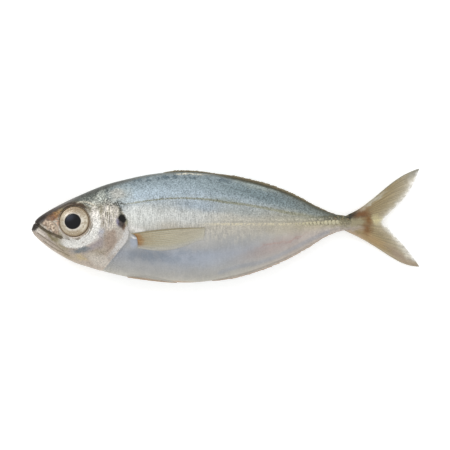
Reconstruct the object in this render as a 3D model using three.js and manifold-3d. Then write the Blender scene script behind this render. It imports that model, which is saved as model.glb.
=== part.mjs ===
// A whole raw scad lying on its right flank, with its left flank up.
// The trunk, head, gill covers and fins are grown in one piece, so they are one solid.
// The two eyeballs sit in sockets cut into the head, and each is a solid of its own.
//
// Everything is shaped as a straight fish first: x runs from the snout to the tail, y from belly to back,
// and z from the middle of the fish out to its flanks. Then the whole fish is let down onto the board.

import * as THREE from "three";
import { mergeVertices } from "three/addons/utils/BufferGeometryUtils.js";
import Module from "manifold-3d";

const wasm = await Module();
wasm.setup();

// ---------------------------------------------------------------------------
// Driving dimensions, in millimetres
// ---------------------------------------------------------------------------

const TOTAL_LENGTH = 160; // snout to the tips of the tail
const BODY_LENGTH = 134; // snout to the end of the tail stalk, where the scales stop
const BODY_WIDTH = 18.6; // through both flanks, at the thickest place
const REST_PRESS = 0.7; // how far the lower flank is pressed flat by the fish's own weight

const EYE_DIAMETER = 12.4;
const EYE_BULGE = 1.2; // how far the front of the eyeball stands past its rim
const EYE_DEPTH = 2.4; // how deep the eyeball sits behind its rim
const EYE_BACK = 0.72; // radius of the eyeball's back, as a share of its rim's
const EYE_SUNK = 0.35; // how far the rim lies below the cheek
const EYE_CENTRE = { x: 17.5, y: 1.5 };
const EYE_TURN = THREE.MathUtils.degToRad(10); // the eyes look a little forwards, as the head narrows
const EYE_TILT = THREE.MathUtils.degToRad(7); // and a little upwards, as it narrows to the back
const SOCKET_GAP = 0.3; // room left between an eyeball and its socket

const MOUTH_GROOVE = 0.45; // radius of the groove between the jaws
const GILL_STEP = 0.55; // how far the free edge of a gill cover stands off the shoulder
const FIN_EDGE = 0.5; // thickness of a fin at its free edge
const FIN_ROOT = 1.5; // thickness of a fin where it leaves the body
const SLIVER = 0.03; // corners that move the surface by less than this are taken out
const FLOOR_REACH = 400; // size of the block that trims the fish at the board

// Outlines, as [distance from the snout, height above the middle line].
const BACK = [
  [0, -1.9], [0.8, 0.3], [2, 2.2], [4.3, 4.1], [9.3, 7.1], [16.7, 10.8], [29, 16], [39, 18.8], [50, 21],
  [62, 21.9], [74, 21.1], [86, 18.8], [98, 15.7], [108, 11.9], [118, 7], [124, 4.7], [129, 3.9], [132.5, 3.3],
  [134, 0.9],
];
const BELLY = [
  [0, -1.9], [0.8, -3.6], [2, -5], [4.3, -7.1], [9.3, -10.8], [16.7, -15], [24, -17.4], [34, -20.2], [44, -22.1],
  [56, -23.4], [68, -23.6], [80, -21.8], [92, -18.6], [104, -13.9], [114, -8.7], [122, -4.2], [128, -2.4],
  [132.5, -1.6], [134, 0.9],
];
// Half the thickness, as a share of BODY_WIDTH / 2.
const THICKNESS = [
  [0, 0.1], [1, 0.19], [4, 0.34], [10, 0.54], [18, 0.71], [27, 0.86], [38, 0.95], [52, 1], [64, 0.99], [80, 0.9],
  [95, 0.73], [108, 0.52], [118, 0.35], [126, 0.24], [131, 0.17], [134, 0.07],
];
// Height of the middle plane above the board: the trunk carries the fish, and the tail sinks.
const SAG = [
  [0, 7.5], [30, 8.5], [60, BODY_WIDTH / 2 - REST_PRESS], [90, 8.2], [110, 6.5], [124, 4.8], [145, 2.7], [160, 1.2],
];

// ---------------------------------------------------------------------------
// Curves and section
// ---------------------------------------------------------------------------

// Smooth curve through knots [x, value]: cubic pieces with the slope of the neighbouring knots.
function through(knots) {
  const slope = (i) => {
    const a = knots[Math.max(i - 1, 0)];
    const b = knots[Math.min(i + 1, knots.length - 1)];
    return (b[1] - a[1]) / (b[0] - a[0]);
  };
  return (x) => {
    const last = knots.length - 2;
    const i = Math.min(Math.max(knots.findIndex((k) => k[0] > x) - 1, x >= knots[last + 1][0] ? last : 0), last);
    const [x0, y0] = knots[i];
    const [x1, y1] = knots[i + 1];
    const span = x1 - x0;
    const t = THREE.MathUtils.clamp((x - x0) / span, 0, 1);
    const t2 = t * t;
    const t3 = t2 * t;
    return (
      (2 * t3 - 3 * t2 + 1) * y0 +
      (t3 - 2 * t2 + t) * span * slope(i) +
      (3 * t2 - 2 * t3) * y1 +
      (t3 - t2) * span * slope(i + 1)
    );
  };
}

const backAt = through(BACK);
const bellyAt = through(BELLY);
const thicknessAt = through(THICKNESS);
const sagAt = through(SAG);
const smooth = THREE.MathUtils.smoothstep;

const WIDEST_SHARE = 0.52; // the section is thickest this far up from belly to back
const BACK_FORM = { power: 2.1, root: 0.54 }; // rounded back
const BELLY_FORM = { power: 1.9, root: 0.64 }; // belly closing to a keel

// Half the thickness at side-view place (x, y); lift is added to the flank before it closes to the edges.
function flank(x, y, lift = 0) {
  const top = backAt(x);
  const bottom = bellyAt(x);
  const widest = bottom + WIDEST_SHARE * (top - bottom);
  const share = Math.min(y > widest ? (y - widest) / (top - widest) : (widest - y) / (widest - bottom), 1);
  const form = y > widest ? BACK_FORM : BELLY_FORM;
  const half = (thicknessAt(x) * BODY_WIDTH) / 2;
  return (half + lift) * Math.max(1 - share ** form.power, 0) ** form.root;
}

// ---------------------------------------------------------------------------
// Making and joining closed bodies
// ---------------------------------------------------------------------------

const solids = {
  // A closed three.js geometry as a solid for joining and cutting.
  from(geometry) {
    const bare = new THREE.BufferGeometry();
    bare.setAttribute("position", geometry.getAttribute("position"));
    bare.setIndex(geometry.index);
    const merged = mergeVertices(bare, 1e-4);
    const vertProperties = new Float32Array(merged.attributes.position.array);
    const triVerts = new Uint32Array(merged.index.array);
    const made = new wasm.Manifold(new wasm.Mesh({ numProp: 3, vertProperties, triVerts }));
    if (made.volume() > 0) return made;
    for (let i = 0; i < triVerts.length; i += 3) {
      [triVerts[i + 1], triVerts[i + 2]] = [triVerts[i + 2], triVerts[i + 1]];
    }
    return new wasm.Manifold(new wasm.Mesh({ numProp: 3, vertProperties, triVerts }));
  },
  // A solid back as a three.js geometry, without the slivers that joining leaves.
  geometry(solid) {
    const mesh = solid.simplify(SLIVER).getMesh();
    const made = new THREE.BufferGeometry();
    made.setAttribute("position", new THREE.BufferAttribute(new Float32Array(mesh.vertProperties), 3));
    made.setIndex(new THREE.BufferAttribute(new Uint32Array(mesh.triVerts), 1));
    made.computeVertexNormals();
    return made;
  },
};

// Moves each corner of a geometry to where place(x, y, z) puts it.
function reshape(geometry, place) {
  const at = geometry.getAttribute("position");
  for (let i = 0; i < at.count; i++) {
    at.setXYZ(i, ...place(at.getX(i), at.getY(i), at.getZ(i)));
  }
  return geometry;
}

// ---------------------------------------------------------------------------
// Trunk and head
// ---------------------------------------------------------------------------

const STATIONS = 58;
const ROUND = 36;

// A ball drawn out into the fish: its poles become the snout and the end of the tail stalk.
function trunk(lift = () => 0) {
  const ball = new THREE.SphereGeometry(1, ROUND, STATIONS);
  ball.rotateZ(Math.PI / 2); // poles on the x axis, the first one at the snout
  return solids.from(
    reshape(ball, (bx, by, bz) => {
      const x = (BODY_LENGTH * (1 + bx)) / 2;
      const radius = Math.hypot(by, bz);
      if (radius < 1e-6) return [x, (backAt(x) + bellyAt(x)) / 2, 0];
      const up = by / radius;
      const top = backAt(x);
      const bottom = bellyAt(x);
      const widest = bottom + WIDEST_SHARE * (top - bottom);
      const y = up > 0 ? widest + up * (top - widest) : widest + up * (widest - bottom);
      return [x, y, Math.sign(bz) * flank(x, y, lift(x))];
    }),
  );
}

// ---------------------------------------------------------------------------
// Gill covers
// ---------------------------------------------------------------------------

// Free edge from its upper corner over the shoulder down to the throat, then forward under the cheek.
const GILL_EDGE = [
  [35.9, 8], [37.9, 5.2], [39.2, 2.2], [39.3, -0.6], [40.6, -3.6], [39.4, -6.4], [37, -9.2], [33.6, -13.7], [30.2, -17.6],
];
const GILL_FRONT = 24; // where the cover begins to lift off the cheek
const GILL_FULL = 37; // where it stands off by its whole step
const GILL_BURIED = -0.5; // its front edge starts under the cheek's skin

// The head's own skin, lifted towards the gill opening and cut off at the free edge.
function gillCovers() {
  const outline = new THREE.Shape();
  outline.moveTo(GILL_FRONT, 10);
  outline.lineTo(GILL_EDGE[0][0] - 2, 9.4);
  outline.splineThru(GILL_EDGE.map(([x, y]) => new THREE.Vector2(x, y)));
  outline.lineTo(GILL_FRONT, -19);
  const cutter = new THREE.ExtrudeGeometry(outline, {
    depth: BODY_WIDTH * 2,
    bevelEnabled: false,
    curveSegments: 3,
  }).translate(0, 0, -BODY_WIDTH);
  const lifted = trunk((x) => GILL_BURIED + (GILL_STEP - GILL_BURIED) * smooth(x, GILL_FRONT, GILL_FULL));
  return lifted.intersect(solids.from(cutter));
}

// ---------------------------------------------------------------------------
// Mouth
// ---------------------------------------------------------------------------

const GAPE = [[10.6, -4.6], [8, -3.5], [5, -1.6], [2.6, 0], [0.9, 0.35]]; // from the corner to the lips

// A groove that runs from one corner of the mouth round the snout to the other.
function mouthGroove() {
  const left = GAPE.map(([x, y]) => new THREE.Vector3(x, y, flank(x, y)));
  const right = left.map((p) => new THREE.Vector3(p.x, p.y, -p.z)).reverse();
  const path = new THREE.CatmullRomCurve3([...left, new THREE.Vector3(-0.3, 0.3, 0), ...right]);
  const section = new THREE.Shape();
  section.absarc(0, 0, MOUTH_GROOVE, 0, 2 * Math.PI);
  return solids.from(
    new THREE.ExtrudeGeometry(section, { steps: 36, curveSegments: 3, bevelEnabled: false, extrudePath: path }),
  );
}

// ---------------------------------------------------------------------------
// Fins
// ---------------------------------------------------------------------------

// A fin as a thin block: across runs 0 to 1 over its rays, along runs 0 to 1 from root to free edge,
// and side is -1 or 1 for its two faces. place gives the corner for each.
function fin(raysAcross, stepsAlong, place) {
  const block = new THREE.BoxGeometry(1, 1, 2, raysAcross, stepsAlong, 1);
  return solids.from(reshape(block, (x, y, z) => place(x + 0.5, y + 0.5, z)));
}

const TAIL_ROOT = { x: 128, top: 3, bottom: -2.3 };
const TAIL_FORK = { x: 144.4, y: 1.3 };
// swing: how far a lobe's rear edge swings out between fork and tip. bow: how far its outer rays bow outwards,
// past the share of their length that runs straight. late: above 1, the bow is fullest nearer the tip.
const LOBES = {
  upper: { side: 1, tip: { x: TOTAL_LENGTH, y: 23.4 }, swing: 2.3, bow: 1.9, straight: 0.43, late: 1 },
  lower: { side: -1, tip: { x: TOTAL_LENGTH, y: -17.2 }, swing: 0.7, bow: 2.4, straight: 0.3, late: 1.7 },
};

// The tail: rays fan from the stalk to a forked edge.
function tailFin() {
  return fin(28, 9, (across, along, side) => {
    const u = 2 * across - 1; // -1 the lowest ray, 1 the highest
    const lobe = u > 0 ? LOBES.upper : LOBES.lower;
    const reach = Math.abs(u) ** 0.92;
    const swing = lobe.swing * Math.sin(Math.PI * reach ** 1.4);
    const rim = {
      x: TAIL_FORK.x + (lobe.tip.x - TAIL_FORK.x) * reach + swing * 0.5,
      y: TAIL_FORK.y + (lobe.tip.y - TAIL_FORK.y) * reach - swing * 0.8 * lobe.side,
    };
    const root = TAIL_ROOT.bottom + across * (TAIL_ROOT.top - TAIL_ROOT.bottom);
    const outer = Math.max(along - lobe.straight, 0) / (1 - lobe.straight);
    const bow = lobe.bow * u * Math.abs(u) * Math.sin(Math.PI * outer ** lobe.late);
    const thick = FIN_ROOT + (FIN_EDGE - FIN_ROOT) * Math.sqrt(along);
    return [
      TAIL_ROOT.x + (rim.x - TAIL_ROOT.x) * along,
      root + (rim.y - root) * along + bow,
      (side * thick) / 2,
    ];
  });
}

// buried: how deep a folded fin's strip runs into the body. root and edge: its thickness there and outside.
const STRIP = { buried: 2.2, root: 1.6, edge: 0.7 };

// A fin folded down along the back or the belly: a low strip from x0 to x1 that stands reach off the outline.
function foldedFin(x0, x1, edgeAt, outward, reach, steps) {
  return fin(steps, 2, (across, along, side) => {
    const x = x0 + across * (x1 - x0);
    const rise = reach * Math.sin(Math.PI * across ** 0.7) ** 0.6;
    const thick = THREE.MathUtils.lerp(STRIP.root, STRIP.edge, along);
    return [x, edgeAt(x) + outward * (along * (STRIP.buried + rise) - STRIP.buried), (side * thick) / 2];
  });
}

const PECTORAL = {
  root: { top: [41.6, -3.7], bottom: [44.6, -9.2] },
  tip: { top: [71.8, -1.6], bottom: [69.8, -4.6] },
  crown: 0.7, // how far the upper edge swings out above the straight line to the tip
  hollow: 2.4, // how far the lower edge swings out below it
  proud: { root: 0.6, tip: 0.3 }, // how far the fin's face stands off the flank
  buried: 0.6, // how far its back runs into the flank
};

// A pectoral fin folded back flat along a flank; hand is 1 on the left and -1 on the right.
function pectoralFin(hand) {
  const { lerp } = THREE.MathUtils;
  const { root, tip, crown, hollow, proud, buried } = PECTORAL;
  const between = (end, axis, across) => lerp(end.top[axis], end.bottom[axis], across);
  return fin(8, 12, (across, along, side) => {
    const x = lerp(between(root, 0, across), between(tip, 0, across), along);
    const y =
      lerp(between(root, 1, across), between(tip, 1, across), along) -
      hollow * across * Math.sin(Math.PI * Math.min(along * 1.25, 1)) +
      crown * (1 - across) * Math.sin(Math.PI * along);
    return [x, y, hand * (flank(x, y) + (side > 0 ? lerp(proud.root, proud.tip, along) : -buried))];
  });
}

// From x0 to x1 along the keel. proud and buried are as on the pectoral fin, and half is the least half
// thickness the pair keeps between them at the keel.
const PELVIC = { x0: 39, x1: 58, breadth: 3.2, below: 0.25, half: 0.9, proud: 0.5, buried: 0.7 };

// A pelvic fin folded back under the belly, beside the keel.
function pelvicFin(hand) {
  return fin(4, 8, (across, along, side) => {
    const x = THREE.MathUtils.lerp(PELVIC.x0, PELVIC.x1, along);
    const spread = PELVIC.breadth * Math.sin(Math.PI * (0.12 + 0.76 * along)) * (1 - 0.3 * along);
    const y = bellyAt(x) - PELVIC.below + across * spread;
    return [x, y, hand * (Math.max(flank(x, y), PELVIC.half) + (side > 0 ? PELVIC.proud : -PELVIC.buried))];
  });
}

// ---------------------------------------------------------------------------
// Eyes
// ---------------------------------------------------------------------------

// A lens-shaped eyeball on the z axis, with its rim at z = 0 and its front towards +z.
function eyeProfile(grow) {
  const radius = EYE_DIAMETER / 2 + grow;
  const points = [new THREE.Vector2(0, -EYE_DEPTH - grow)];
  const steps = 5;
  for (let i = 0; i <= steps; i++) {
    const a = (i / steps) * (Math.PI / 2);
    const wide = radius * (EYE_BACK + (1 - EYE_BACK) * Math.sin(a));
    points.push(new THREE.Vector2(wide, -(EYE_DEPTH + grow) * Math.cos(a)));
  }
  for (let i = 1; i <= steps; i++) {
    const a = (i / steps) * (Math.PI / 2);
    points.push(new THREE.Vector2(radius * Math.cos(a), EYE_BULGE * Math.sin(a)));
  }
  points[points.length - 1].x = 0;
  return new THREE.LatheGeometry(points, 40).rotateX(Math.PI / 2);
}

// Puts something shaped like an eyeball at the eye on one side of the straight fish.
function atEye(geometry, hand) {
  const rim = flank(EYE_CENTRE.x, EYE_CENTRE.y) - EYE_SUNK;
  if (hand < 0) geometry.rotateY(Math.PI);
  geometry.rotateX(-hand * EYE_TILT).rotateY(-hand * EYE_TURN);
  return geometry.translate(EYE_CENTRE.x, EYE_CENTRE.y, hand * rim);
}

// ---------------------------------------------------------------------------
// Laying the fish down
// ---------------------------------------------------------------------------

// Lets the straight fish sink onto the board, tail lowest.
const layDown = (geometry) => reshape(geometry, (x, y, z) => [x, y, z + sagAt(x)]);

function fishSolid() {
  let fish = trunk().add(gillCovers());
  fish = fish.subtract(mouthGroove());
  const fins = [
    tailFin(),
    foldedFin(54, 76, backAt, 1, 0.8, 12),
    foldedFin(75, 125, backAt, 1, 1.2, 22),
    foldedFin(74, 125.5, bellyAt, -1, 1.6, 20),
    pectoralFin(1),
    pectoralFin(-1),
    pelvicFin(1),
    pelvicFin(-1),
  ];
  for (const each of fins) fish = fish.add(each);
  for (const hand of [1, -1]) fish = fish.subtract(solids.from(atEye(eyeProfile(SOCKET_GAP), hand)));
  const laid = solids.from(layDown(solids.geometry(fish)));
  const board = new THREE.BoxGeometry(FLOOR_REACH, FLOOR_REACH, FLOOR_REACH).translate(0, 0, -FLOOR_REACH / 2);
  return laid.subtract(solids.from(board));
}

const skin = new THREE.MeshStandardMaterial({ name: "skin", color: 0xa9b0b2, roughness: 0.38, metalness: 0.25 });
const eye = new THREE.MeshStandardMaterial({ name: "eye", color: 0xc3baa4, roughness: 0.12, metalness: 0.1 });

const fishMesh = new THREE.Mesh(solids.geometry(fishSolid()), skin);
fishMesh.name = "fish";
const eyeMeshes = [["eye_left", 1], ["eye_right", -1]].map(([name, hand]) => {
  const mesh = new THREE.Mesh(layDown(atEye(eyeProfile(0), hand)), eye);
  mesh.name = name;
  return mesh;
});

const scad = new THREE.Group();
scad.name = "raw_scad";
scad.add(fishMesh, ...eyeMeshes);

// The origin is the middle of the fish's length and depth, on the board.
const room = new THREE.Box3().setFromObject(scad);
scad.position.set(-(room.min.x + room.max.x) / 2, -(room.min.y + room.max.y) / 2, -room.min.z);

export default scad;
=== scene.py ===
# %% [markdown]
# # A whole raw scad, laid on its flank
# A scad is a small silver food fish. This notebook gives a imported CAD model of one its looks.
# The CAD holds the fish's true size and place, and this script never moves it. It makes finer skin, eyes
# and fins in the same frame, and each of them stands for a CAD solid or grows on one.
# Lengths are in millimetres: x from the snout, y above the middle line and z off the fish's middle plane.
# Only when a mesh is stored do they turn into Blender's metres.

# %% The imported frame
import math

import bmesh
import bpy
import numpy as np
from mathutils import Euler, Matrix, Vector


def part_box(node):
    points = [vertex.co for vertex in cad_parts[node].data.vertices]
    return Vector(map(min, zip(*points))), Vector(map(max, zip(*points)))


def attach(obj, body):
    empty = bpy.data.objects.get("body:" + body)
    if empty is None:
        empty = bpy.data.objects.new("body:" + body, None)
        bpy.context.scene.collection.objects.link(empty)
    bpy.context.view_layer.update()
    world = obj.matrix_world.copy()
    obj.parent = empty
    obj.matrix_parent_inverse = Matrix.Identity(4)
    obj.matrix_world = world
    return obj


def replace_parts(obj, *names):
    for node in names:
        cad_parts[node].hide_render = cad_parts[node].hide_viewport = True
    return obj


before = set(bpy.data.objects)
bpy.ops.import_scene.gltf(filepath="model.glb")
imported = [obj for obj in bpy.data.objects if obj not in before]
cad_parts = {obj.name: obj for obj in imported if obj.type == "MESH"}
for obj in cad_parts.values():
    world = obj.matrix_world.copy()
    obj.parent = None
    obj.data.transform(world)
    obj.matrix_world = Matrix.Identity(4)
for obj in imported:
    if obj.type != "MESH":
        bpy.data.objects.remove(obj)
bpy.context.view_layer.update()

# %% [markdown]
# ## From the fish's own measures to the frame
# A fish is measured from its snout and its middle line. The frame has its origin in the middle of the CAD
# box, so one function shifts and scales. The shift comes from the CAD itself: the tail's upper tip is the
# highest point of the fish, and its height above the middle line is known.

# %% Units and places
MM = 0.001
TOTAL_LENGTH = 160.0
BODY_LENGTH = 134.0
BODY_WIDTH = 18.6
UPPER_TIP, LOWER_TIP = 23.4, -17.2  # heights of the tail's two tips
MIDDLE_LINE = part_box("fish")[1][1] / MM - UPPER_TIP  # its height in the frame


def to_frame(points):
    """Points in the fish's own millimetres, as metres in the frame."""
    return (np.asarray(points, float) + (-TOTAL_LENGTH / 2, MIDDLE_LINE, 0)) * MM


print("the middle line lies", round(MIDDLE_LINE, 3), "mm above the frame's x axis")

# %% [markdown]
# ## The camera, the lamps and the board
# The camera hangs straight above the fish, square to its flank, far off with a long lens, so that nothing
# looks foreshortened. A silver fish shows whatever is around it, so the light is soft and even: a pale sky
# all round and two wide lamps. The lamps stand low enough that no pupil mirrors them up to the camera.

# %% Camera, lamps and sky
FRAME_WIDTH = 185.3  # how much of the board the square picture shows
LENS, SENSOR = 600.0, 36.0
AIM = Vector(to_frame((79.7, 0.0, 8.0)))

camera_data = bpy.data.cameras.new("camera")
camera_data.lens, camera_data.sensor_width = LENS, SENSOR
camera = bpy.data.objects.new("camera", camera_data)
camera.location = AIM + Vector((0, 0, FRAME_WIDTH * MM * LENS / SENSOR))
bpy.context.scene.collection.objects.link(camera)
bpy.context.scene.camera = camera
bpy.context.scene.view_settings.view_transform = "Standard"


def softbox(name, place, width, watts, colour):
    """A wide square lamp that faces the fish."""
    light = bpy.data.lights.new(name, "AREA")
    light.shape, light.size, light.energy, light.color = "SQUARE", width, watts, colour
    lamp = bpy.data.objects.new(name, light)
    lamp.location = place
    lamp.rotation_euler = (AIM - lamp.location).to_track_quat("-Z", "Y").to_euler()
    bpy.context.scene.collection.objects.link(lamp)


softbox("key", Vector((-0.85, 0.85, 0.75)), 0.6, 8.0, (1.0, 0.992, 0.975))
softbox("fill", Vector((0.8, -0.6, 0.75)), 0.6, 1.8, (0.97, 0.985, 1.0))

sky = bpy.data.worlds.new("sky")
sky.use_nodes = True
sky.node_tree.nodes["Background"].inputs["Color"].default_value = (0.975, 0.99, 1.0, 1)
sky.node_tree.nodes["Background"].inputs["Strength"].default_value = 0.81
bpy.context.scene.world = sky

# %% [markdown]
# ## Helpers for materials
# A shader works with linear light, while colours are written down as sRGB hex codes, so one function turns
# one into the other. Another adds a node, sets it up and wires it. Every material and every Geometry Nodes
# tree below is made with it. A node often has more sockets than it shows, so sockets are found by name
# among those in use.

# %% Colour and node helpers
def paint(code):
    """An sRGB hex colour, as the linear colour that a shader works with."""
    shares = [int(code[i : i + 2], 16) / 255 for i in (1, 3, 5)]
    return (*[c / 12.92 if c <= 0.04045 else ((c + 0.055) / 1.055) ** 2.4 for c in shares], 1.0)


def feed(tree, node, name, value):
    """Gives a node's input a value: a socket or a node's first output to link, a hex colour, or a number."""
    socket = node.inputs[name] if isinstance(name, int) else next(
        s for s in node.inputs if s.name == name and s.enabled)
    if isinstance(value, bpy.types.Node):
        value = next(s for s in value.outputs if s.enabled)
    if isinstance(value, bpy.types.NodeSocket):
        tree.links.new(value, socket)
    elif socket.type == "RGBA":
        socket.default_value = paint(value)
    else:
        socket.default_value = value


def put(tree, kind, inputs=(), stops=(), **settings):
    """Adds a node with its settings and inputs. stops are the places and colours of a ramp."""
    made = tree.nodes.new(kind)
    for name, value in settings.items():
        setattr(made, name, value)
    for i, (place, code) in enumerate(stops):
        spot = made.color_ramp.elements[i] if i < 2 else made.color_ramp.elements.new(place)
        spot.position, spot.color = place, paint(code)
    for name, value in dict(inputs).items():
        feed(tree, made, name, value)
    return made


def new_material(name, roughness, coat=0.0, coat_roughness=0.1, specular=0.5):
    """A material with its shader's plain values set, and its tree and shader to build on."""
    material = bpy.data.materials.new(name)
    material.use_nodes = True
    shader = material.node_tree.nodes["Principled BSDF"]
    values = {"Roughness": roughness, "Coat Weight": coat, "Coat Roughness": coat_roughness,
              "Specular IOR Level": specular}
    for socket, value in values.items():
        shader.inputs[socket].default_value = value
    return material, material.node_tree, shader


# %% [markdown]
# The board is plain and pale, like a sheet of matt card under the fish. A faint fibre keeps it from being
# one dead colour. It glows a little, as a light table does, so that the fish throws only a weak shadow.

# %% The board
BOARD_SIZE, BOARD_DROP = 3000.0, 0.05  # it lies a hair below the fish, so that the two don't fight
BOARD_GLOW = 0.3


def board_finish():
    """Matt white card: rough, with a fibre that is hardly seen."""
    material, tree, shader = new_material("matt_white_card", roughness=0.9, specular=0.1)
    shader.inputs["Emission Color"].default_value = (1, 1, 1, 1)
    shader.inputs["Emission Strength"].default_value = BOARD_GLOW
    place = put(tree, "ShaderNodeTexCoord").outputs["Object"]
    fibre = put(tree, "ShaderNodeTexNoise", {"Vector": place, "Scale": 900.0, "Detail": 3.0})
    tone = put(tree, "ShaderNodeMix", {"Factor": fibre, "A": "#f8f8f7", "B": "#fcfcfb"}, data_type="RGBA")
    feed(tree, shader, "Base Color", tone)
    return material


board_mesh = bpy.data.meshes.new("board")
half = BOARD_SIZE / 2 * MM
corners = [(x * half, y * half, -BOARD_DROP * MM) for x, y in ((-1, -1), (1, -1), (1, 1), (-1, 1))]
board_mesh.from_pydata(corners, [], [(0, 1, 2, 3)])
board_mesh.materials.append(board_finish())
board = bpy.data.objects.new("board", board_mesh)
bpy.context.scene.collection.objects.link(board)

# %% [markdown]
# ## The fish's outlines
# Four smooth curves give the trunk: the back and the belly as seen from the side, the thickness, and how
# the middle of the fish sags from the trunk, which carries it, to the tail, which almost lies on the board.
# Each is a cubic through a few knots, which bends evenly where a polyline would show corners.

# %% Curves
BACK = [
    (0, -1.9), (0.8, 0.3), (2, 2.2), (4.3, 4.1), (9.3, 7.1), (16.7, 10.8), (29, 16), (39, 18.8), (50, 21),
    (62, 21.9), (74, 21.1), (86, 18.8), (98, 15.7), (108, 11.9), (118, 7), (124, 4.7), (129, 3.9),
    (132.5, 3.3), (134, 0.9),
]
BELLY = [
    (0, -1.9), (0.8, -3.6), (2, -5), (4.3, -7.1), (9.3, -10.8), (16.7, -15), (24, -17.4), (34, -20.2),
    (44, -22.1), (56, -23.4), (68, -23.6), (80, -21.8), (92, -18.6), (104, -13.9), (114, -8.7), (122, -4.2),
    (128, -2.4), (132.5, -1.6), (134, 0.9),
]
THICKNESS = [
    (0, 0.02), (0.25, 0.1), (1, 0.19), (4, 0.34), (10, 0.54), (18, 0.71), (27, 0.86), (38, 0.95), (52, 1),
    (64, 0.99), (80, 0.9), (95, 0.73), (108, 0.52), (118, 0.35), (126, 0.24), (131, 0.17), (134, 0.07),
]  # half the thickness, as a share of half the body's width
REST_PRESS = 0.7  # how far its own weight presses the lower flank flat
SAG = [
    (0, 7.5), (30, 8.5), (60, BODY_WIDTH / 2 - REST_PRESS), (90, 8.2), (110, 6.5), (124, 4.8), (145, 2.7),
    (160, 1.2),
]  # height of the fish's middle plane over the board


def through(knots):
    """A smooth curve through knots (x, value), as a function of x."""
    xs, ys = np.array(knots, float).T
    before = np.maximum(np.arange(len(xs)) - 1, 0)
    after = np.minimum(np.arange(len(xs)) + 1, len(xs) - 1)
    slopes = (ys[after] - ys[before]) / (xs[after] - xs[before])

    def at(x):
        x = np.clip(x, xs[0], xs[-1])
        i = np.clip(np.searchsorted(xs, x, side="right") - 1, 0, len(xs) - 2)
        span = xs[i + 1] - xs[i]
        t = (x - xs[i]) / span
        near = (2 * t**3 - 3 * t**2 + 1) * ys[i] + (t**3 - 2 * t**2 + t) * span * slopes[i]
        return near + (3 * t**2 - 2 * t**3) * ys[i + 1] + (t**3 - t**2) * span * slopes[i + 1]

    return at


back_at, belly_at, thickness_at, sag_at = map(through, (BACK, BELLY, THICKNESS, SAG))
print("deepest", round(float(back_at(60) - belly_at(60)), 1), "mm, 60 mm behind the snout")

# %% [markdown]
# ## The section
# Cut across, the trunk is a flattened oval, rounder at the back and drawn to a keel at the belly.
# Going round it by an angle, rather than by height, puts the points close together where it bends most.

# %% The plain trunk as a function
WIDEST_SHARE = 0.52  # the section is thickest this far up from belly to back
BACK_FORM = (2.1, 0.54)  # power and root of its rounding, above the thickest place
BELLY_FORM = (1.9, 0.64)  # and below it
TINY = 1e-6  # keeps a division from meeting 0


def widest_at(x):
    """How high the section is thickest."""
    return belly_at(x) + WIDEST_SHARE * (back_at(x) - belly_at(x))


def half_thickness(x, share):
    """Half the thickness at a share of the way up: -1 is the belly, 0 the thickest place, 1 the back."""
    power = np.where(share > 0, BACK_FORM[0], BELLY_FORM[0])
    root = np.where(share > 0, BACK_FORM[1], BELLY_FORM[1])
    return thickness_at(x) * BODY_WIDTH / 2 * np.maximum(1 - np.abs(share) ** power, 0) ** root


def share_at(x, y):
    """The share of the way up of a place seen from the side."""
    widest = widest_at(x)
    reach = np.where(y > widest, back_at(x) - widest, widest - belly_at(x))
    return np.clip((y - widest) / np.maximum(reach, TINY), -1, 1)


def flank(x, y):
    """Half the thickness of the plain trunk at a place seen from the side."""
    return half_thickness(x, share_at(x, y))


def trunk(x, turn):
    """Points of the plain trunk. turn goes round it: 0 is the left flank, a quarter turn the back."""
    share = np.sin(turn)
    widest = widest_at(x)
    y = widest + share * np.where(share > 0, back_at(x) - widest, widest - belly_at(x))
    return np.stack([x + 0 * turn, y, np.sign(np.cos(turn)) * half_thickness(x, share)], -1)


def outward(x, turn):
    """The direction straight out of the plain trunk, from short steps along and round it."""
    along = trunk(x + 0.05, turn) - trunk(x - 0.05, turn)
    across = trunk(x, turn + 0.01) - trunk(x, turn - 0.01)
    normal = np.cross(along, across)
    return normal / np.maximum(np.linalg.norm(normal, axis=-1, keepdims=True), 1e-9)


# %% [markdown]
# ## Lines on the head and flank
# The mouth, the bones of the cheek and the lines along the flank are drawn as curves in the side view.
# The same curves raise or groove the mesh and guide the colours, so the two always agree.

# %% Curves in the side view, and how far a point is from one
GILL_EDGE = [
    (33.2, 17), (33.9, 13), (34.8, 10.4), (35.9, 8), (37.9, 5.2), (39.2, 2.2), (39.6, -0.8), (40.1, -3.6),
    (39.3, -6.4), (37, -9.2), (33.6, -13.7), (30.2, -17.6), (28.2, -19.2),
]
GAPE = [(12.3, -5.1), (9.6, -4.1), (6.5, -2.6), (4.2, -1.1), (2.4, 0.1), (1.2, 0.8)]
LOWER_LIP = [(1.9, -1.9), (3.5, -3.1), (5.6, -4.5), (8.0, -6.2)]
JAW_FOLD = [(2.6, -3.3), (6.3, -5.9), (9.7, -8.2), (13.4, -10.7)]
CHIN_FOLD = [(5.0, -6.6), (9.5, -9.6), (15.5, -12.6)]
UPPER_JAW = [(4.9, 0.8), (7.6, 0.2), (9.7, -1.5), (10.6, -4.0)]
CHEEK_EDGE = [
    (28.8, 8), (29.4, 4.5), (29.6, 1.2), (30.1, -3.3), (30.1, -7.4), (28.4, -9.2), (23.8, -10.9),
    (17.5, -9.9),
]
GILL_SEAM = [(34.9, -5.2), (33.4, -8.6), (30.6, -11.2), (27.6, -12.6)]
FIN_SHOULDER = [(40.4, -5.4), (41.6, -3.9), (43.6, -3.1), (46.5, -2.7)]
ANAL_GROOVE = [(77.6, -19.7), (84.5, -17.3), (95.3, -15.1), (103.6, -11.8), (115.1, -6), (122.1, -2.9)]
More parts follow.
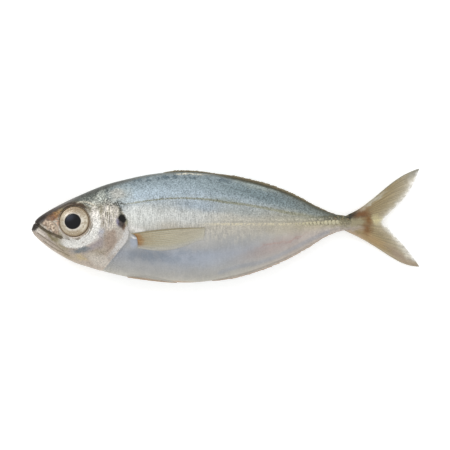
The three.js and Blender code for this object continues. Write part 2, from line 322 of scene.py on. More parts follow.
STRIPE = [
    (36, 8.4), (40.4, 8.8), (48.8, 10.1), (59.5, 11), (68.6, 10.8), (74.3, 10.3), (79.7, 9.4), (87.9, 8.4),
    (94.9, 7.2), (101.5, 5.9), (106.5, 4.9), (111.8, 4.1), (118, 2.9), (124, 2.1),
]
LATERAL = [(66, 0.2), (80, 0.35), (100, 0.35), (112, 0.5), (120, 0.9), (128, 1.3), (134, 1.4)]
stripe_at, lateral_at = through(STRIPE), through(LATERAL)


def bend(points, steps=8):
    """A polyline through points, rounded by cubic pieces."""
    p = np.array([points[0], *points, points[-1]], float)
    t = np.linspace(0, 1, steps, endpoint=False)[:, None]
    pieces = [
        0.5 * (2 * b + (c - a) * t + (2 * a - 5 * b + 4 * c - d) * t**2 + (3 * b - a - 3 * c + d) * t**3)
        for a, b, c, d in zip(p[:-3], p[1:-2], p[2:-1], p[3:])
    ]
    return np.concatenate([*pieces, p[-1:]])


def reach_of(points, x, y):
    """How far places are from a curve, below 0 on its right-hand side, and how far along it they are."""
    path = bend(points)
    nearest = np.full(np.shape(x), 1e9)
    side, share = np.ones_like(nearest), np.zeros_like(nearest)
    for i, ((ax, ay), (bx, by)) in enumerate(zip(path[:-1], path[1:])):
        dx, dy = bx - ax, by - ay
        t = np.clip(((x - ax) * dx + (y - ay) * dy) / (dx * dx + dy * dy), 0, 1)
        gap = np.hypot(x - ax - t * dx, y - ay - t * dy)
        closer = gap < nearest
        nearest = np.where(closer, gap, nearest)
        side = np.where(closer, np.where(dx * (y - ay) > dy * (x - ax), 1, -1), side)
        share = np.where(closer, (i + t) / (len(path) - 1), share)
    return nearest * side, share


def smooth(low, high, value):
    """0 at low, 1 at high, with an even bend between them."""
    t = np.clip((value - low) / (high - low), 0, 1)
    return t * t * (3 - 2 * t)


def hump(distance, width):
    """1 on a line, falling off within about width of it."""
    return np.exp(-((distance / width) ** 2))


# %% [markdown]
# ## The relief of the skin
# A real skin isn't the plain trunk: jaws, cheek plates and the rim round the eye stand off it, and the mouth
# and folds are grooved into it. The relief is a sum of such small steps, each a few tenths of a millimetre.

# %% Relief
EYE = (17.75, 1.4)
EYE_RADIUS = 6.15
EYE_TURN, EYE_TILT = math.radians(10), math.radians(7)  # it looks a little forwards and upwards
EYE_SUNK = 0.35
NOSTRILS = [(9.6, 4.4), (10.7, 5.0)]
facing = Euler((0, -EYE_TURN, 0)).to_matrix() @ Euler((-EYE_TILT, 0, 0)).to_matrix()
eye_axis = facing @ Vector((0, 0, 1))
eye_rim = float(flank(*EYE)) - EYE_SUNK


def eye_plane(x, y):
    """How far the plane of the eye's rim lies off the fish's middle plane."""
    return eye_rim - (eye_axis.x * (x - EYE[0]) + eye_axis.y * (y - EYE[1])) / eye_axis.z


def jaw_plate(x, y):
    """How far outside the upper jaw's slanting plate a place lies, below 0 on it."""
    reach, along = reach_of(UPPER_JAW, x, y)
    return np.abs(reach) - np.interp(along, [0, 0.35, 0.7, 1], [0.5, 1.6, 1.4, 0.7])


def head_relief(x, y):
    """How far the head's skin stands off the plain trunk."""
    lip, lip_share = reach_of(LOWER_LIP, x, y)
    cheek = reach_of(CHEEK_EDGE, x, y)[0]
    height = -0.5 * hump(reach_of(GAPE, x, y)[0], 0.33)
    height += 0.28 * smooth(0.15, -0.2, jaw_plate(x, y))
    height += 0.22 * hump(lip, 0.5) * smooth(1, 0.7, lip_share)
    height -= 0.16 * hump(reach_of(JAW_FOLD, x, y)[0], 0.22)
    height -= 0.12 * hump(reach_of(CHIN_FOLD, x, y)[0], 0.3)
    low_cheek = smooth(15, 19, x) * smooth(6, -3, y)
    height += 0.24 * smooth(0.35, -0.35, cheek) * smooth(-6, -0.2, cheek) * low_cheek
    height -= 0.1 * hump(cheek - 0.5, 0.6) * low_cheek
    height -= 0.12 * hump(reach_of(GILL_SEAM, x, y)[0], 0.4)
    for nostril in NOSTRILS:
        height -= 0.22 * hump(np.hypot(x - nostril[0], y - nostril[1]), 0.3)
    return height


def trunk_relief(x, y):
    """How far the trunk's skin stands off the plain trunk."""
    off_line = y - lateral_at(x)
    height = 0.06 * hump(off_line, 0.9) * smooth(68, 90, x)
    height -= 0.02 * smooth(76, 90, x) * hump(off_line - 1.0, 0.7)
    height += 0.05 * hump(y - stripe_at(x), 0.4) * smooth(38, 42, x) * smooth(124, 110, x)
    height += 0.3 * hump(reach_of(FIN_SHOULDER, x, y)[0], 0.75)
    height -= 0.3 * hump(np.hypot((x - 41.6) / 1.9, (y + 6.9) / 2.1), 0.9)
    height -= 0.05 * hump(reach_of(ANAL_GROOVE, x, y)[0], 0.7)
    muscle = np.sin(1.25 * (x - 0.55 * np.abs(off_line))) * smooth(60, 84, x) * smooth(124, 112, x)
    return height + 0.02 * muscle * hump(off_line + 4.5, 6)


# %% [markdown]
# ## The skin, with a gill opening that is really open
# The head and trunk are one mesh of rings. In the middle of it, each line of points from snout to tail runs
# out over the gill cover, turns round its free edge, goes back under it and comes out again on the shoulder.
# That fold gives the gill cover a real rim with a gap behind it, without a seam. Above the gill opening the
# fold shrinks to nothing, and its rings share one point there.

# %% Rings of the skin
UPPER_COLUMNS, LOWER_COLUMNS = 150, 106  # points round each flank: more on the one that shows
HEAD_ROWS, TRUNK_ROWS = 150, 190
HEAD_CROWDING, TRUNK_CROWDING = 1.2, 1.08  # above 1, the rows are closest at the start of each part
GILL_LIFT = 0.4  # how far the free edge stands off the shoulder
GILL_RIM = 0.14  # radius of the free edge
GILL_POCKET = 2.4  # how far the gap runs back under the cover
SHOULDER_DIP = 0.12  # how far the shoulder sinks under the free edge
COVER_LENGTH = 12.0  # how far in front of its edge the cover starts to lift
EYE_SOCKET = 2.0  # depth of the socket below the eye's rim
SHUT = 0.04  # where the gill opening would be narrower than this share, it is shut

turns = np.concatenate([
    np.linspace(-math.pi / 2, math.pi / 2, UPPER_COLUMNS, endpoint=False),
    np.linspace(math.pi / 2, 3 * math.pi / 2, LOWER_COLUMNS, endpoint=False),
])
shares = np.sin(turns)
edge_line = bend(GILL_EDGE)
edge_shares = share_at(edge_line[:, 0], edge_line[:, 1])
rising = np.argsort(edge_shares)
edge_x = np.interp(shares, edge_shares[rising], edge_line[rising, 0])
# The gap is whole low on the flank, narrower at the keel and shut towards the back.
opening = smooth(0.45, -0.05, shares) * (0.3 + 0.7 * smooth(-1, -0.93, shares))
opening = np.where(opening < SHUT, 0, opening)


def skin_rows():
    """For every ring: x and the height off the plain trunk at each column, and the part of the fish."""
    for i in range(1, HEAD_ROWS + 1):
        x = edge_x * (i / HEAD_ROWS) ** HEAD_CROWDING
        yield x, opening * GILL_LIFT * smooth(-COVER_LENGTH, -0.5, x - edge_x), "head"
    rim = opening * GILL_RIM
    for angle in np.radians((45, 90, 135, 180)):
        yield edge_x + rim * math.sin(angle), opening * GILL_LIFT - rim * (1 - math.cos(angle)), "fold"
    for back in (0.5, 1.0):
        height = GILL_LIFT - 2 * GILL_RIM - 0.08 * back
        yield edge_x - back * GILL_POCKET * opening, opening * height, "fold"
    start = edge_x - GILL_POCKET * opening
    for i in range(TRUNK_ROWS):
        x = start + (BODY_LENGTH - start) * (i / TRUNK_ROWS) ** TRUNK_CROWDING
        yield x, -SHOULDER_DIP * opening * smooth(6, 0, x - edge_x), "trunk"


row_x, row_lift, row_part = map(np.array, zip(*skin_rows()))
on_head = np.broadcast_to((row_part != "trunk")[:, None], row_x.shape)
grid_turn = np.broadcast_to(turns, row_x.shape)
plain = trunk(row_x, grid_turn)
side_x, side_y = plain[..., 0], plain[..., 1]
relief = np.where(on_head, head_relief(side_x, side_y), trunk_relief(side_x, side_y))
skin_points = plain + outward(row_x, grid_turn) * (row_lift + relief)[..., None]
print("skin:", *row_x.shape, "rings and points in each")

# %% [markdown]
# Round each eye the skin leaves the trunk's curve and lies in the plane of the eye's rim, with a low ring
# round it, and inside the ring it sinks to make the socket.

# %% Eye sockets
eye_reach = np.hypot(side_x - EYE[0], side_y - EYE[1])
to_plane = smooth(10.5, 7.0, eye_reach) * smooth(0.4, 2.6, np.abs(plain[..., 2])) * on_head
rim_height = eye_plane(side_x, side_y) + 0.12 * hump(eye_reach - 6.95, 0.4)
sunk = EYE_SOCKET * smooth(6.2, 5.2, eye_reach) + 0.15 * smooth(6.6, 6.1, eye_reach)
off_middle = np.abs(skin_points[..., 2]) * (1 - to_plane) + (rim_height - sunk) * to_plane
skin_points[..., 2] = np.where(to_plane > 0, np.sign(plain[..., 2]) * off_middle, skin_points[..., 2])

# %% [markdown]
# Every mesh is worked out for a straight fish and then let down: it sags onto the board, and whatever would
# go below the board is pressed flat just above it. Then it is stored, and its faces are turned outwards.

# %% Storing a mesh
GIVE = 0.5  # how far above the board the flesh starts to give
WELD = 1e-7  # points closer together than this, in metres, become one


def laid_down(points):
    """Lets the straight fish sink onto the board, tail lowest, and presses flat what would go through it."""
    laid = np.array(points, float)
    height = laid[..., 2] + sag_at(laid[..., 0])
    laid[..., 2] = np.where(height < GIVE, GIVE * np.exp(np.minimum(height / GIVE - 1, 0)), height)
    return laid


def new_mesh(name, points, faces=(), values=(), edges=()):
    """A mesh in the frame, with its values at each point for materials and trees to read."""
    mesh = bpy.data.meshes.new(name)
    mesh.from_pydata(to_frame(points).tolist(), edges, faces)
    for key, numbers in dict(values).items():
        numbers = np.asarray(numbers, np.float32).ravel()
        mesh.attributes.new(key, "FLOAT", "POINT").data.foreach_set("value", numbers)
    return mesh


def new_piece(name, mesh, slot, material=None):
    """A closed mesh as a piece of the fish, faces outwards."""
    if material:
        mesh.materials.append(material)
    shell = bmesh.new()
    shell.from_mesh(mesh)
    bmesh.ops.remove_doubles(shell, verts=shell.verts, dist=WELD)
    bmesh.ops.recalc_face_normals(shell, faces=shell.faces)
    shell.to_mesh(mesh)
    loose = sum(not edge.is_manifold for edge in shell.edges)
    print(f"{name}: {len(shell.faces)} faces, {shell.calc_volume() / MM**3:.1f} mm3, {loose} open edges")
    shell.free()
    mesh.shade_smooth()
    piece = bpy.data.objects.new(name, mesh)
    bpy.context.scene.collection.objects.link(piece)
    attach(piece, "root")
    return piece


# %% [markdown]
# The rings become faces. Where the fold has shrunk to nothing its rings share their points, so a face there
# loses a corner or goes. Both ends close in one point.

# %% The skin's mesh
def ring_faces(ids):
    """Quads between neighbouring closed rings of point numbers, without the corners that two rings share."""
    near, far = ids[:-1], ids[1:]
    quads = np.stack([near, np.roll(near, -1, 1), np.roll(far, -1, 1), far], -1).reshape(-1, 4)
    shared = (quads == np.roll(quads, 1, 1)).any(1)
    fewer = [[c for i, c in enumerate(quad) if c != quad[i - 1]] for quad in quads[shared].tolist()]
    return quads[~shared].tolist() + [corners for corners in fewer if len(corners) > 2]


ids = np.arange(row_x.size).reshape(row_x.shape)
fold = np.flatnonzero(row_part == "fold")
ids[np.ix_([*fold, fold[-1] + 1], opening == 0)] = ids[fold[0] - 1, opening == 0]
used, numbering = np.unique(ids, return_inverse=True)
numbering = numbering.reshape(ids.shape)
skin_faces = ring_faces(numbering)
for tip, ring in ((len(used), numbering[0]), (len(used) + 1, numbering[-1])):
    skin_faces += [(tip, int(a), int(b)) for a, b in zip(ring, np.roll(ring, -1))]


def on_points(grid):
    """Values on the grid of rings, in the mesh's order. Each end takes the mean of the ring next to it."""
    grid = np.broadcast_to(grid, ids.shape).astype(float)
    return np.concatenate([grid.reshape(-1)[used], [grid[0].mean(), grid[-1].mean()]])


ends = [(0, back_at(0), 0), (BODY_LENGTH, back_at(BODY_LENGTH), 0)]
laid_skin = laid_down(np.concatenate([skin_points.reshape(-1, 3)[used], ends]))

# %% [markdown]
# ## What the skin's colours follow
# Each point of the skin keeps its distance to every line that the colours follow, in millimetres. Distances
# change evenly from point to point, so a shader draws crisp lines from them on a mesh that is far coarser.

# %% Distances for the colours
depth = np.maximum(back_at(side_x) - belly_at(side_x), TINY)
lip_reach, lip_along = reach_of(LOWER_LIP, side_x, side_y)
folds = [np.abs(reach_of(path, side_x, side_y)[0]) for path in (JAW_FOLD, CHIN_FOLD)]
skin_values = {
    "rise": (side_y - belly_at(side_x)) / depth,  # 0 at the keel, 1 at the back
    "under_back": back_at(side_x) - side_y,
    "over_keel": side_y - belly_at(side_x),
    "stripe": side_y - stripe_at(side_x),
    "lateral": side_y - lateral_at(side_x),
    "gill": reach_of(GILL_EDGE, side_x, side_y)[0],
    "gape": reach_of(GAPE, side_x, side_y)[0],
    "lip": np.abs(lip_reach) + 2 * smooth(0.6, 1, lip_along),
    "folds": np.minimum(*folds),
    "jaw_plate": jaw_plate(side_x, side_y),
    "cheek": reach_of(CHEEK_EDGE, side_x, side_y)[0],
    "seam": reach_of(GILL_SEAM, side_x, side_y)[0],
    "anal_groove": reach_of(ANAL_GROOVE, side_x, side_y)[0],
    "eye_reach": eye_reach,
    "eye_up": (side_y - EYE[1]) / np.maximum(eye_reach, TINY),  # 1 straight above the eye, -1 below it
    "eye_aft": (side_x - EYE[0]) / np.maximum(eye_reach, TINY),  # 1 straight behind it, -1 before it
}

# %% [markdown]
# ## Masks
# The skin's colours are laid one over another, as a painter would: a ground, then soft patches, then lines.
# A patch is an oval with a soft rim, and its coordinates are bent by noise beforehand, so that no patch
# looks like an oval. A line is drawn from the distance to it.

# %% Masks for patches and lines
FLECK_SOFT = 0.04  # how far from its level a noise has to be for a fleck to be whole or gone


def reckon(tree, *steps):
    """A chain of Math nodes: each step is an operation and its other numbers, and takes what came before."""
    value = steps[0]
    for operation, *others in steps[1:]:
        value = put(tree, "ShaderNodeMath", {0: value} | dict(enumerate(others, 1)), operation=operation)
    return value


def between(tree, value, start, end, whole=1.0):
    """A mask that is nothing at start and whole at end."""
    ends = {"Value": value, "From Min": start, "From Max": end, "To Max": whole}
    return put(tree, "ShaderNodeMapRange", ends, interpolation_type="SMOOTHSTEP")


def patch(tree, at, middle, reach, turn=0.0, soft=0.6, strength=1.0):
    """An oval patch: strength inside, nothing outside, and soft says how wide the change is. The place it is
    given has 1 for z, so one dot product tells how far out along an axis of the oval it lies."""
    cos, sin = math.cos(math.radians(turn)), math.sin(math.radians(turn))
    out = 0.0
    for (x, y), half in zip(((cos, sin), (-sin, cos)), reach):
        axis = (x / half, y / half, -(x * middle[0] + y * middle[1]) / half)
        off = put(tree, "ShaderNodeVectorMath", {0: at, 1: axis}, operation="DOT_PRODUCT").outputs["Value"]
        out = reckon(tree, off, ("MULTIPLY_ADD", off, out))
    return between(tree, reckon(tree, out, ("SQRT",)), 1 + soft, 1 - soft, strength)


def line(tree, distance, width, soft=0.3, strength=1.0):
    """A line: strength within width of it, fading over soft."""
    return between(tree, reckon(tree, distance, ("ABSOLUTE",)), width + soft, width, strength)


def overlap(tree, *masks):
    """Where all of some masks are. A mask may also be a plain strength."""
    return reckon(tree, masks[0], *[("MULTIPLY", mask) for mask in masks[1:]])


def shaken(tree, value, noise, reach):
    """A value moved up and down by noise, by up to about reach."""
    return reckon(tree, noise, ("ADD", -0.5), ("MULTIPLY_ADD", 2 * reach, value))


def noise(tree, at, scale, detail=2.0, squeeze=(1, 1, 1)):
    """Noise with grains of about one over scale. squeeze makes them longer where it is small."""
    spot = put(tree, "ShaderNodeVectorMath", {0: at, 1: squeeze}, operation="MULTIPLY")
    return put(tree, "ShaderNodeTexNoise", {"Vector": spot, "Scale": scale, "Detail": detail})


def layered(tree, ground, layers):
    """A ground colour with layers on it, each a mask and a hex colour or another colour node."""
    for mask, over in layers:
        ground = put(tree, "ShaderNodeMix", {"Factor": mask, "A": ground, "B": over}, data_type="RGBA")
    return ground


def patches_on(tree, bent, patches):
    """Yields layers for a list of patches. Each mask is made only when its layer is laid, because a shader
    holds just so many values at a time, and goes black when there are more."""
    for colour, strength, middle, reach, turn, soft in patches:
        yield patch(tree, bent, middle, reach, turn, soft, strength), colour


def flecks_on(tree, bent, noises, flecks):
    """Yields layers for a list of flecks, each a patch that shows only where its noise is above a level."""
    for kind, level, (colour, strength, middle, reach, turn, soft) in flecks:
        above = between(tree, noises[kind], level - FLECK_SOFT, level + FLECK_SOFT)
        yield overlap(tree, patch(tree, bent, middle, reach, turn, soft, strength), above), colour


# %% [markdown]
# ## The skin's finish
# Raw scad skin is silver because of stacked guanine crystals under clear, wet scales. It looks half metal and
# half pearl, with a wet coat on top. A few noises are shared by all that is uneven on it.

# %% Noises
NOISES = {  # grains in a millimetre, detail, and squeeze along x, y and z
    "cloud": (0.16, 3.0),
    "cloudy": (0.3, 3.0),
    "coarse": (0.45, 3.0),
    "blotch": (0.8, 2.0),
    "mottle": (1.3, 2.0),
    "fine": (1.6, 2.0),
    "grain": (1.9, 3.0),
    "streak": (1.0, 1.0, (1.0, 0.28, 0.3)),
    "strand": (1.0, 1.0, (1.9, 0.35, 0.35)),
}

# %% [markdown]
# The ground colours run from keel to back, once for the trunk, once for the tail stalk and once for the head.
# Patches and flecks are listed in the order in which they are laid, so a later one covers an earlier one.

# %% Ground colours and patches
# Low on the trunk the ground darkens to grey-blue before the cream keel: painted shade and a painted
# reflection of darker surroundings in the silver.
TRUNK_GROUND = [
    (0, "#b4afa4"), (0.1, "#acaba9"), (0.24, "#a0a3aa"), (0.38, "#aaa9a6"), (0.5, "#b6b0a4"),
    (0.6, "#bbb8ae"), (0.7, "#b2b7b7"), (0.8, "#a3b0b8"), (0.9, "#92a0a7"), (0.965, "#7b868a"),
    (1, "#5d6059"),
]
STALK_GROUND = [
    (0, "#b0a49a"), (0.25, "#b1a89f"), (0.46, "#b3a992"), (0.6, "#a39e8a"), (0.8, "#858b85"), (1, "#4b4c3f"),
]
HEAD_GROUND = [
    (0, "#b5a799"), (0.2, "#b0a397"), (0.45, "#b9b0a6"), (0.66, "#b7b0a3"), (0.76, "#a09c90"),
    (0.84, "#7f817a"), (0.91, "#595e59"), (1, "#3c403a"),
]
# Each patch: colour, strength, middle, half length and half breadth, turn in degrees and softness.
HEAD_PATCHES = [
    ("#433021", 0.95, (7.4, 4.3), (5.6, 2.3), 38, 0.4),  # brown before the eye, where the flesh shows through
    ("#5c4027", 0.95, (9.0, 3.9), (3.6, 1.7), 42, 0.8),
    ("#7f5230", 0.6, (9.6, 3.3), (1.6, 1.0), 45, 0.9),
    ("#7a5b31", 0.9, (11.2, 5.3), (2.0, 1.0), 50, 0.8),
    ("#6a6036", 0.7, (12.9, 6.5), (1.3, 0.8), 45, 0.7),
    ("#b98f72", 0.8, (10.8, 1.0), (0.45, 1.7), 15, 0.6),
    ("#7d7250", 0.85, (8.8, -5.0), (4.4, 0.9), -40, 0.6),  # olive below the upper jaw
    ("#8b8163", 0.75, (11.6, -4.4), (1.7, 1.7), -40, 0.7),
    ("#988e72", 0.7, (12.4, -8.4), (3.4, 1.1), -38, 0.8),
    ("#a59678", 0.6, (14.8, -12.4), (4.8, 0.9), -32, 0.8),
    ("#b9bdcc", 0.7, (28.5, -3.0), (1.1, 1.9), -25, 0.9),  # bluish shine and shade on the cheek
    ("#e0dcd7", 0.75, (25.6, -5.6), (3.4, 1.1), 32, 0.7),
    ("#a0969a", 0.7, (25.9, -8.5), (4.0, 1.2), 34, 0.8),
    ("#777d80", 0.95, (20.6, -10.3), (3.4, 1.2), 5, 0.7),
    ("#968a8a", 0.5, (28.6, -6.4), (1.2, 2.6), 5, 0.9),
    ("#a39081", 0.85, (32.6, -5.9), (2.3, 4.6), -8, 0.5),  # blushing gill cover
    ("#9c9078", 0.6, (26.4, -11.9), (4.4, 1.2), 16, 0.8),
    ("#c5b38c", 0.75, (20.4, -13.4), (2.6, 0.9), -25, 0.8),
    ("#cac1b5", 0.9, (28.4, -14.6), (5.4, 2.2), -24, 0.5),
    ("#d0c9c4", 0.8, (32.4, 3.8), (2.8, 4.6), 0, 0.6),
    ("#dcd6d0", 0.8, (26.6, 3.8), (1.8, 3.4), 6, 0.6),  # pale and olive columns behind the eye
    ("#868069", 0.7, (28.6, 5.8), (0.6, 2.4), 0, 0.7),
    ("#c8cec6", 0.8, (28.9, 12.0), (1.6, 2.2), -25, 0.7),  # a white scale patch on the nape
]
TRUNK_PATCHES = [
    ("#d3d5d1", 0.8, (45.5, 3.2), (7.5, 4.6), -10, 0.6),  # painted highlights on the silver shoulder
    ("#e2e0dc", 0.8, (42.9, -1.6), (3.6, 1.3), -25, 0.7),
    ("#aebdc8", 0.5, (48.0, 12.2), (6.5, 2.2), 10, 0.8),
    ("#a3a8a5", 0.7, (38.0, 12.6), (3.2, 3.0), 20, 0.7),
    ("#9aa8b4", 0.7, (69.0, 7.8), (9.0, 2.3), -4, 0.8),
    ("#cdd0cf", 0.65, (62.0, 3.4), (12.0, 2.8), -3, 0.8),
    ("#8b9286", 0.5, (80.0, 9.8), (6.5, 1.3), -8, 0.8),
    ("#9aa09e", 0.6, (86.0, 5.8), (9.0, 1.7), -8, 0.8),
    ("#7d8288", 0.65, (50.0, -12.8), (9.0, 2.4), -4, 0.8),  # painted reflection: the silver belly grey-blue where it faces darker surroundings
    ("#a9b0bc", 0.6, (66.0, -14.0), (11.0, 3.0), 2, 0.8),
    ("#bab7b2", 0.5, (69.0, -6.5), (7.0, 3.2), 0, 0.8),
    ("#829092", 0.6, (84.0, 14.6), (15.0, 3.2), -10, 0.8),  # darker and paler bands along the back
    ("#6b7a7d", 0.65, (97.0, 11.3), (15.0, 2.2), -16, 0.8),
    ("#98a19c", 0.6, (93.0, 15.8), (9.5, 0.9), -14, 0.8),
    ("#a28f86", 0.6, (100.0, -8.9), (12.0, 2.4), 20, 0.9),
    ("#a5857c", 0.5, (99.5, -7.8), (5.0, 0.3), 12, 1.0),  # blood in the muscle before the tail
    ("#a07f78", 0.5, (108.5, -5.7), (4.4, 0.25), 22, 1.0),
    ("#7f775f", 0.85, (129.5, 1.1), (7.0, 2.2), 0, 0.6),  # the tan stalk, dark above
    ("#4c4b37", 0.85, (128.5, 3.4), (8.5, 0.9), 4, 0.7),
    ("#a9afba", 0.9, (42.4, -6.6), (1.9, 2.2), 0, 0.5),  # pearly armpit of the side fin
    # a painted highlight in the armpit
    ("#eeecea", 0.9, (42.1, -4.9), (1.2, 0.5), -16, 0.8),
]
# Where a noise is above a level, flecks lie on a patch. Each: which noise, level, and the patch as above.
HEAD_FLECKS = [
    ("blotch", 0.5, ("#b0b2a8", 0.6, (32.0, 12.0), (11.0, 2.9), 17, 0.6)),  # pale and dark scales on the nape
    ("mottle", 0.52, ("#4b4f49", 0.65, (29.0, 11.8), (13.0, 3.6), 17, 0.5)),
    ("mottle", 0.52, ("#6f6b5b", 0.7, (27.0, 7.2), (4.6, 1.3), 5, 0.6)),
    ("streak", 0.52, ("#dcd5c8", 0.8, (32.2, 3.2), (3.8, 5.0), 0, 0.5)),  # streaks on the upper gill cover
    ("strand", 0.54, ("#75705a", 0.75, (31.0, 3.6), (4.0, 4.6), 0, 0.5)),
    ("blotch", 0.5, ("#cfbca7", 0.9, (8.2, -1.2), (3.6, 1.5), -42, 0.4)),  # pink and white upper jaw
    ("mottle", 0.51, ("#7c6554", 0.85, (8.2, -1.2), (3.8, 1.6), -42, 0.4)),
]
TRUNK_FLECKS = [
    ("blotch", 0.5, ("#96794f", 0.5, (130.0, 3.0), (6.0, 1.2), 0, 0.6)),
    ("mottle", 0.48, ("#5f5d47", 0.8, (127.0, 2.6), (11.0, 1.4), 0, 0.6)),  # olive and gold on the stalk
    ("mottle", 0.54, ("#b4ad90", 0.6, (121.0, 1.0), (9.0, 1.4), 0, 0.6)),
    # painted reflection: grey-blue flecks low on the belly
    ("cloudy", 0.5, ("#828c98", 0.4, (55.0, -12.2), (14.0, 3.0), 0, 0.7)),
    ("streak", 0.51, ("#c5c0b3", 0.5, (80.0, -3.4), (11.0, 3.4), 0, 0.7)),  # pale muscle under the flank line
]

# %% [markdown]
# The skin's material is long, so it is made in steps. The first ones set up the coordinates that the others
# share: the fish's own millimetres, and the same flattened and bent for patches. Then come the layers of the
# head and those of the trunk, and the last step joins them.

# %% Shared coordinates
def fish_coordinates(tree):
    """Object coordinates in the fish's own millimetres, and the same for the side view, with z 1."""
    place = put(tree, "ShaderNodeTexCoord").outputs["Object"]
    from_frame = {0: place, 1: (1 / MM,) * 3, 2: (TOTAL_LENGTH / 2, -MIDDLE_LINE, 0)}
    at = put(tree, "ShaderNodeVectorMath", from_frame, operation="MULTIPLY_ADD")
    flat = put(tree, "ShaderNodeVectorMath", {0: at, 1: (1, 1, 0), 2: (0, 0, 1)}, operation="MULTIPLY_ADD")
    return at, flat


def bent_by(tree, flat, wobble, reach):
    """Flat coordinates moved about by a noise's colours, by up to about reach."""
    centred = {0: wobble.outputs["Color"], 1: (-0.5, -0.5, 0)}
    moved = put(tree, "ShaderNodeVectorMath", centred, operation="ADD")
    scaled = {0: moved, 1: (2 * reach, 2 * reach, 0), 2: flat}
    return put(tree, "ShaderNodeVectorMath", scaled, operation="MULTIPLY_ADD")


# %% [markdown]
# The head has the most lines: jaws, lip, folds, cheek plate and the rings round the eye. Each line is drawn
# from a distance that the mesh keeps, shaken by noise where a real line is ragged.

# %% Layers of the head
def head_layers(tree, marks, bent, noises):
    """Yields what is painted on the head, from soft patches to crisp lines, as masks and colours."""
    reach, up, aft, fine = marks["eye_reach"], marks["eye_up"], marks["eye_aft"], noises["fine"]

    def ring(middle, width, soft, strength=1.0, ragged=0.0):
        """A line round the eye, middle from its centre."""
        from_eye = shaken(tree, reach, fine, ragged) if ragged else reach
        return line(tree, reckon(tree, from_eye, ("ADD", -middle)), width, soft, strength)

    yield from patches_on(tree, bent, HEAD_PATCHES)
    yield between(tree, shaken(tree, marks["jaw_plate"], fine, 0.5), 0.35, -0.25, 0.9), "#ad9c89"
    yield from flecks_on(tree, bent, noises, HEAD_FLECKS)

    turned = [reckon(tree, direction, ("MULTIPLY", 3.0)) for direction in (up, aft)]
    round_eye = {"X": reach, "Y": turned[0], "Z": turned[1]}
    ripple = noise(tree, put(tree, "ShaderNodeCombineXYZ", round_eye), 1.3)
    below_brow = overlap(tree, between(tree, up, 0.5, -0.2), between(tree, aft, -0.75, -0.3))
    # A painted highlight on the cheek's silver, in a crescent below and behind the eye.
    yield overlap(tree, ring(9.0, 1.4, 1.0, ragged=0.6), below_brow,
                  between(tree, ripple, 0.26, 0.4, 0.95)), "#e2e0da"
    yield overlap(tree, ring(7.3, 0.4, 0.4, 0.75), below_brow, between(tree, ripple, 0.55, 0.47)), "#7f7465"

    for mark, width, soft, strength, colour in (
        ("jaw_plate", 0.05, 0.3, 0.3, "#7a6957"),
        ("lip", 0.2, 0.3, 0.85, "#d6cdc2"),
        ("folds", 0.1, 0.3, 0.6, "#756953"),
        ("cheek", 0.05, 0.4, 0.25, "#8a7b6c"),
        ("seam", 0.1, 0.5, 0.25, "#857a70"),
    ):
        yield line(tree, marks[mark], width, soft, strength), colour
    yield line(tree, shaken(tree, marks["gape"], fine, 0.3), 0.4, 0.5, 0.9), "#514633"

    yield overlap(tree, ring(8.0, 0.2, 0.7, 0.6, ragged=0.5), between(tree, up, 0.3, 0.8)), "#706853"
    # The dark brow, and a pale ridge that leaves it.
    yield overlap(tree, ring(7.2, 0.5, 0.6, ragged=0.5), between(tree, up, 0.55, 0.9)), "#3f3123"
    off_ridge = reckon(tree, aft, ("MULTIPLY_ADD", -4.2, reach), ("ADD", -7.2))
    yield overlap(tree, line(tree, shaken(tree, off_ridge, fine, 0.4), 0.15, 0.4, 0.75),
                  between(tree, up, 0.5, 0.7), between(tree, aft, 0.05, 0.3)), "#bdb7a6"
    yield overlap(tree, ring(6.6, 0.1, 0.3, 0.7), between(tree, aft, 0.1, 0.5)), "#6b5f4c"
    yield ring(6.3, 0.08, 0.3, 0.5), "#86705a"  # the skin at the eye's rim


# %% [markdown]
# The trunk has soft patches, the gold flank line towards the tail, the arched stripe above it with darker
# dashes in front, painted shade along the groove of the belly's rear fin, and a tan keel.

